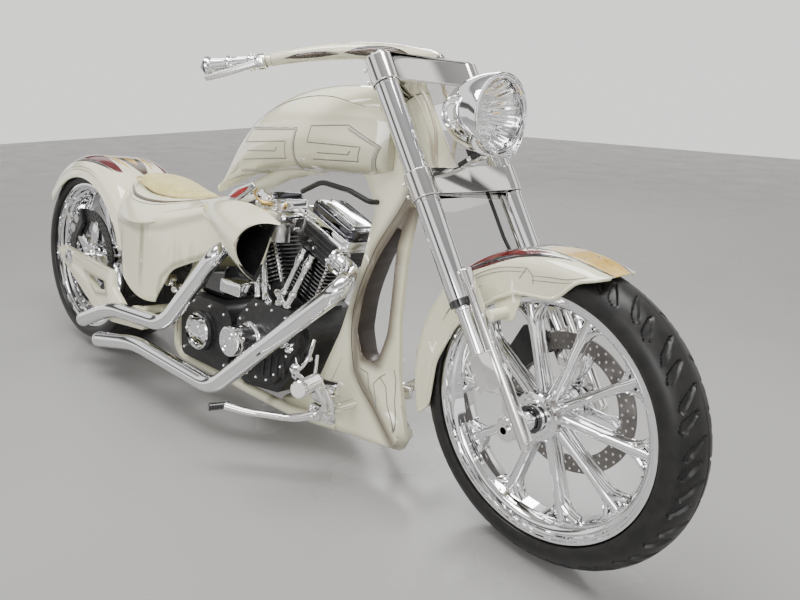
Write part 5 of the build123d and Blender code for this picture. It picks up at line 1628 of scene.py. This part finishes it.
def footDress():
    # grooved pegs, ribbed brackets, bent arms and toe rubbers
    look = {"grooves": 15, "pitch": 6.4}
    shape = Shape()
    for side in (1, -1):
        start, end = Vector((1410, side * 205, 292)), Vector((1460, side * 310, 306))
        at = basis(start, alongZ, end - start)
        full = (end - start).length
        profile = [(0, 2), (17.2, 2), (19.5, 4), (19.5, 9)]
        for step in range(look["grooves"]):
            low = 10 + step * look["pitch"]
            profile += [(17.4, low), (17.4, low + 1.6), (19.6, low + 2.2), (19.6, low + look["pitch"] - 0.6)]
        profile += [(21, full - 6), (21, full - 1), (18, full + 1.5), (0, full + 1.5)]
        shape.finish = 0
        shape.turned(profile, at, 40)
        for thick, size, out in ((10, 20, 160), (12, 17, 172)):
            shape.turned([(0, -thick), (size, -thick), (size + 1.5, 1.5 - thick), (size + 1.5, thick - 1.5),
                          (size, thick), (0, thick)], onSide(1390, side * out, 186, side), 40)
        shape.slab([(1352, 168), (1434, 168), (1440, 178), (1434, 204), (1352, 204), (1346, 190)],
                   -side * 158 - 9, -side * 158 + 9,
                   standing, 4, 3)
        for step in range(7):
            x = 1358 + step * 11
            shape.rod((x, side * 168, 172), (x, side * 168, 200), 2.4, 12, edge=1)
        for size, sides, arm in (
                (10, 14, [(1390, 172, 186, 13), (1330, 196, 160, 10), (1268, 232, 154, 8),
                          (1215, 268, 156, 9), (1170, 300, 164, 11)]),
                (10, 14, [(1390, 172, 190, 12), (1424, 186, 216, 10), (1440, 198, 250, 10),
                          (1418, 208, 290, 14)]),
                (7, 12, [(1404, 176, 200, 7), (1452, 182, 196, 6), (1472, 200, 232, 6),
                         (1452, 214, 286, 8)])):
            shape.tube([(x, side * y, z, r) for x, y, z, r in arm], size, sides, 6)
        shape.bolt(onSide(1390, side * 184, 186, side), 8, 6)
        shape.finish = 1
        toe, tip = Vector((1170, side * 290, 164)), Vector((1150, side * 336, 162))
        length = (tip - toe).length
        grooves = [(0, -2), (9.5, -2)]
        for step in range(7):
            low = step * (length + 2) / 7
            grooves += [(11, low), (11, low + 4.6), (9.6, low + 5.2), (9.6, low + 6.4)]
        shape.turned(grooves + [(11.5, length + 1), (10, length + 3.5), (0, length + 3.5)],
                     basis(toe, alongZ, tip - toe), 32)
    shape.done("footControlsDress", bikeSpace, "chassis", [polished, blackGloss])


dressed("primary_cover", [chrome], 4.0)
dressed("rear_caliper", [blackMetal], 3.0)
for node, paint, edge in (("foot_controls", polished, 1.0), ("side_stand", chrome, 1.5),
                          ("tail_lamp", redLens, 1.0)):
    dressed(node, [paint], edge, 40)
primaryDress()
rearEnd()
standDress()
footDress()
print("rear end and controls made")


roomLook = {"strength": 1.3, "floor": (0.36, 0.355, 0.35), "overhead": 150.0, "side": 80.0, "back": 70.0}


def floorSlab():
    # a pale slab, 18 metres square, with its top at the floor
    slab = bmesh.new()
    bmesh.ops.create_grid(slab, x_segments=1, y_segments=1, size=9)
    bmesh.ops.solidify(slab, geom=slab.faces, thickness=0.05)
    bmesh.ops.translate(slab, verts=slab.verts, vec=(0, 0, -max(vert.co.z for vert in slab.verts)))
    mesh = bpy.data.meshes.new("floor")
    slab.to_mesh(mesh)
    slab.free()
    thing = bpy.data.objects.new("floor", mesh)
    bpy.context.scene.collection.objects.link(thing)
    return thing


def studioSky():
    # pale at eye level, a dark band above it for contrast in the chrome, and a bright ceiling
    world = bpy.data.worlds.new("softStudio")
    bpy.context.scene.world = world
    world.use_nodes = True
    tree = world.node_tree
    direction = tree.nodes.new("ShaderNodeTexCoord")
    split = tree.nodes.new("ShaderNodeSeparateXYZ")
    ramp = tree.nodes.new("ShaderNodeValToRGB")
    tree.links.new(direction.outputs["Generated"], split.inputs[0])
    tree.links.new(split.outputs["Z"], ramp.inputs[0])
    stops = [(0.0, 1.0), (0.17, 0.98), (0.21, 0.12), (0.34, 0.07), (0.40, 0.95), (0.60, 1.0), (0.66, 0.25),
             (1.0, 0.55)]
    for place, level in stops[2:]:
        ramp.color_ramp.elements.new(place)
    for element, (place, level) in zip(ramp.color_ramp.elements, stops):
        element.position = place
        element.color = (level, level * 0.985, level * 0.965, 1)
    background = tree.nodes["Background"]
    tree.links.new(ramp.outputs["Color"], background.inputs["Color"])
    background.inputs["Strength"].default_value = roomLook["strength"]


def softLight(name, where, size, power, aim=(0, 0, 0.5)):
    light = bpy.data.lights.new(name, "AREA")
    light.shape = "RECTANGLE"
    light.size, light.size_y = size
    light.energy = power
    thing = bpy.data.objects.new(name, light)
    thing.location = where
    thing.rotation_euler = (Vector(aim) - Vector(where)).to_track_quat("-Z", "Y").to_euler()
    bpy.context.scene.collection.objects.link(thing)


floor = floorSlab()
floorPaint = Paint("paleFloor", roomLook["floor"], 0.28)
floorPaint.set("Roughness", floorPaint.noise(3.0) * 0.12 + 0.2)
floor.data.materials.append(floorPaint.material)
studioSky()
softLight("overhead", (0.4, -0.6, 3.4), (3.6, 1.0), roomLook["overhead"])
softLight("sideFill", (2.6, -4.2, 2.2), (2.4, 1.2), roomLook["side"])
softLight("backLight", (-1.5, 3.6, 2.8), (3.0, 0.6), roomLook["back"])


# the photograph's camera, from the floor under the rear wheel
view = {"place": (2.54769, -1.16515, 1.05944), "forward": (-0.61562, 0.71658, -0.32791),
        "right": (0.75562, 0.65489, 0.01252), "lens": 29.751}
cameraData = bpy.data.cameras.new("photoCamera")
cameraData.lens = view["lens"]
cameraData.sensor_width = 36
camera = bpy.data.objects.new("photoCamera", cameraData)
right, ahead = Vector(view["right"]), Vector(view["forward"])
camera.matrix_world = basis(leanLine + Vector(view["place"]), right, -ahead)
bpy.context.scene.collection.objects.link(camera)
bpy.context.scene.camera = camera
print("room and camera made")
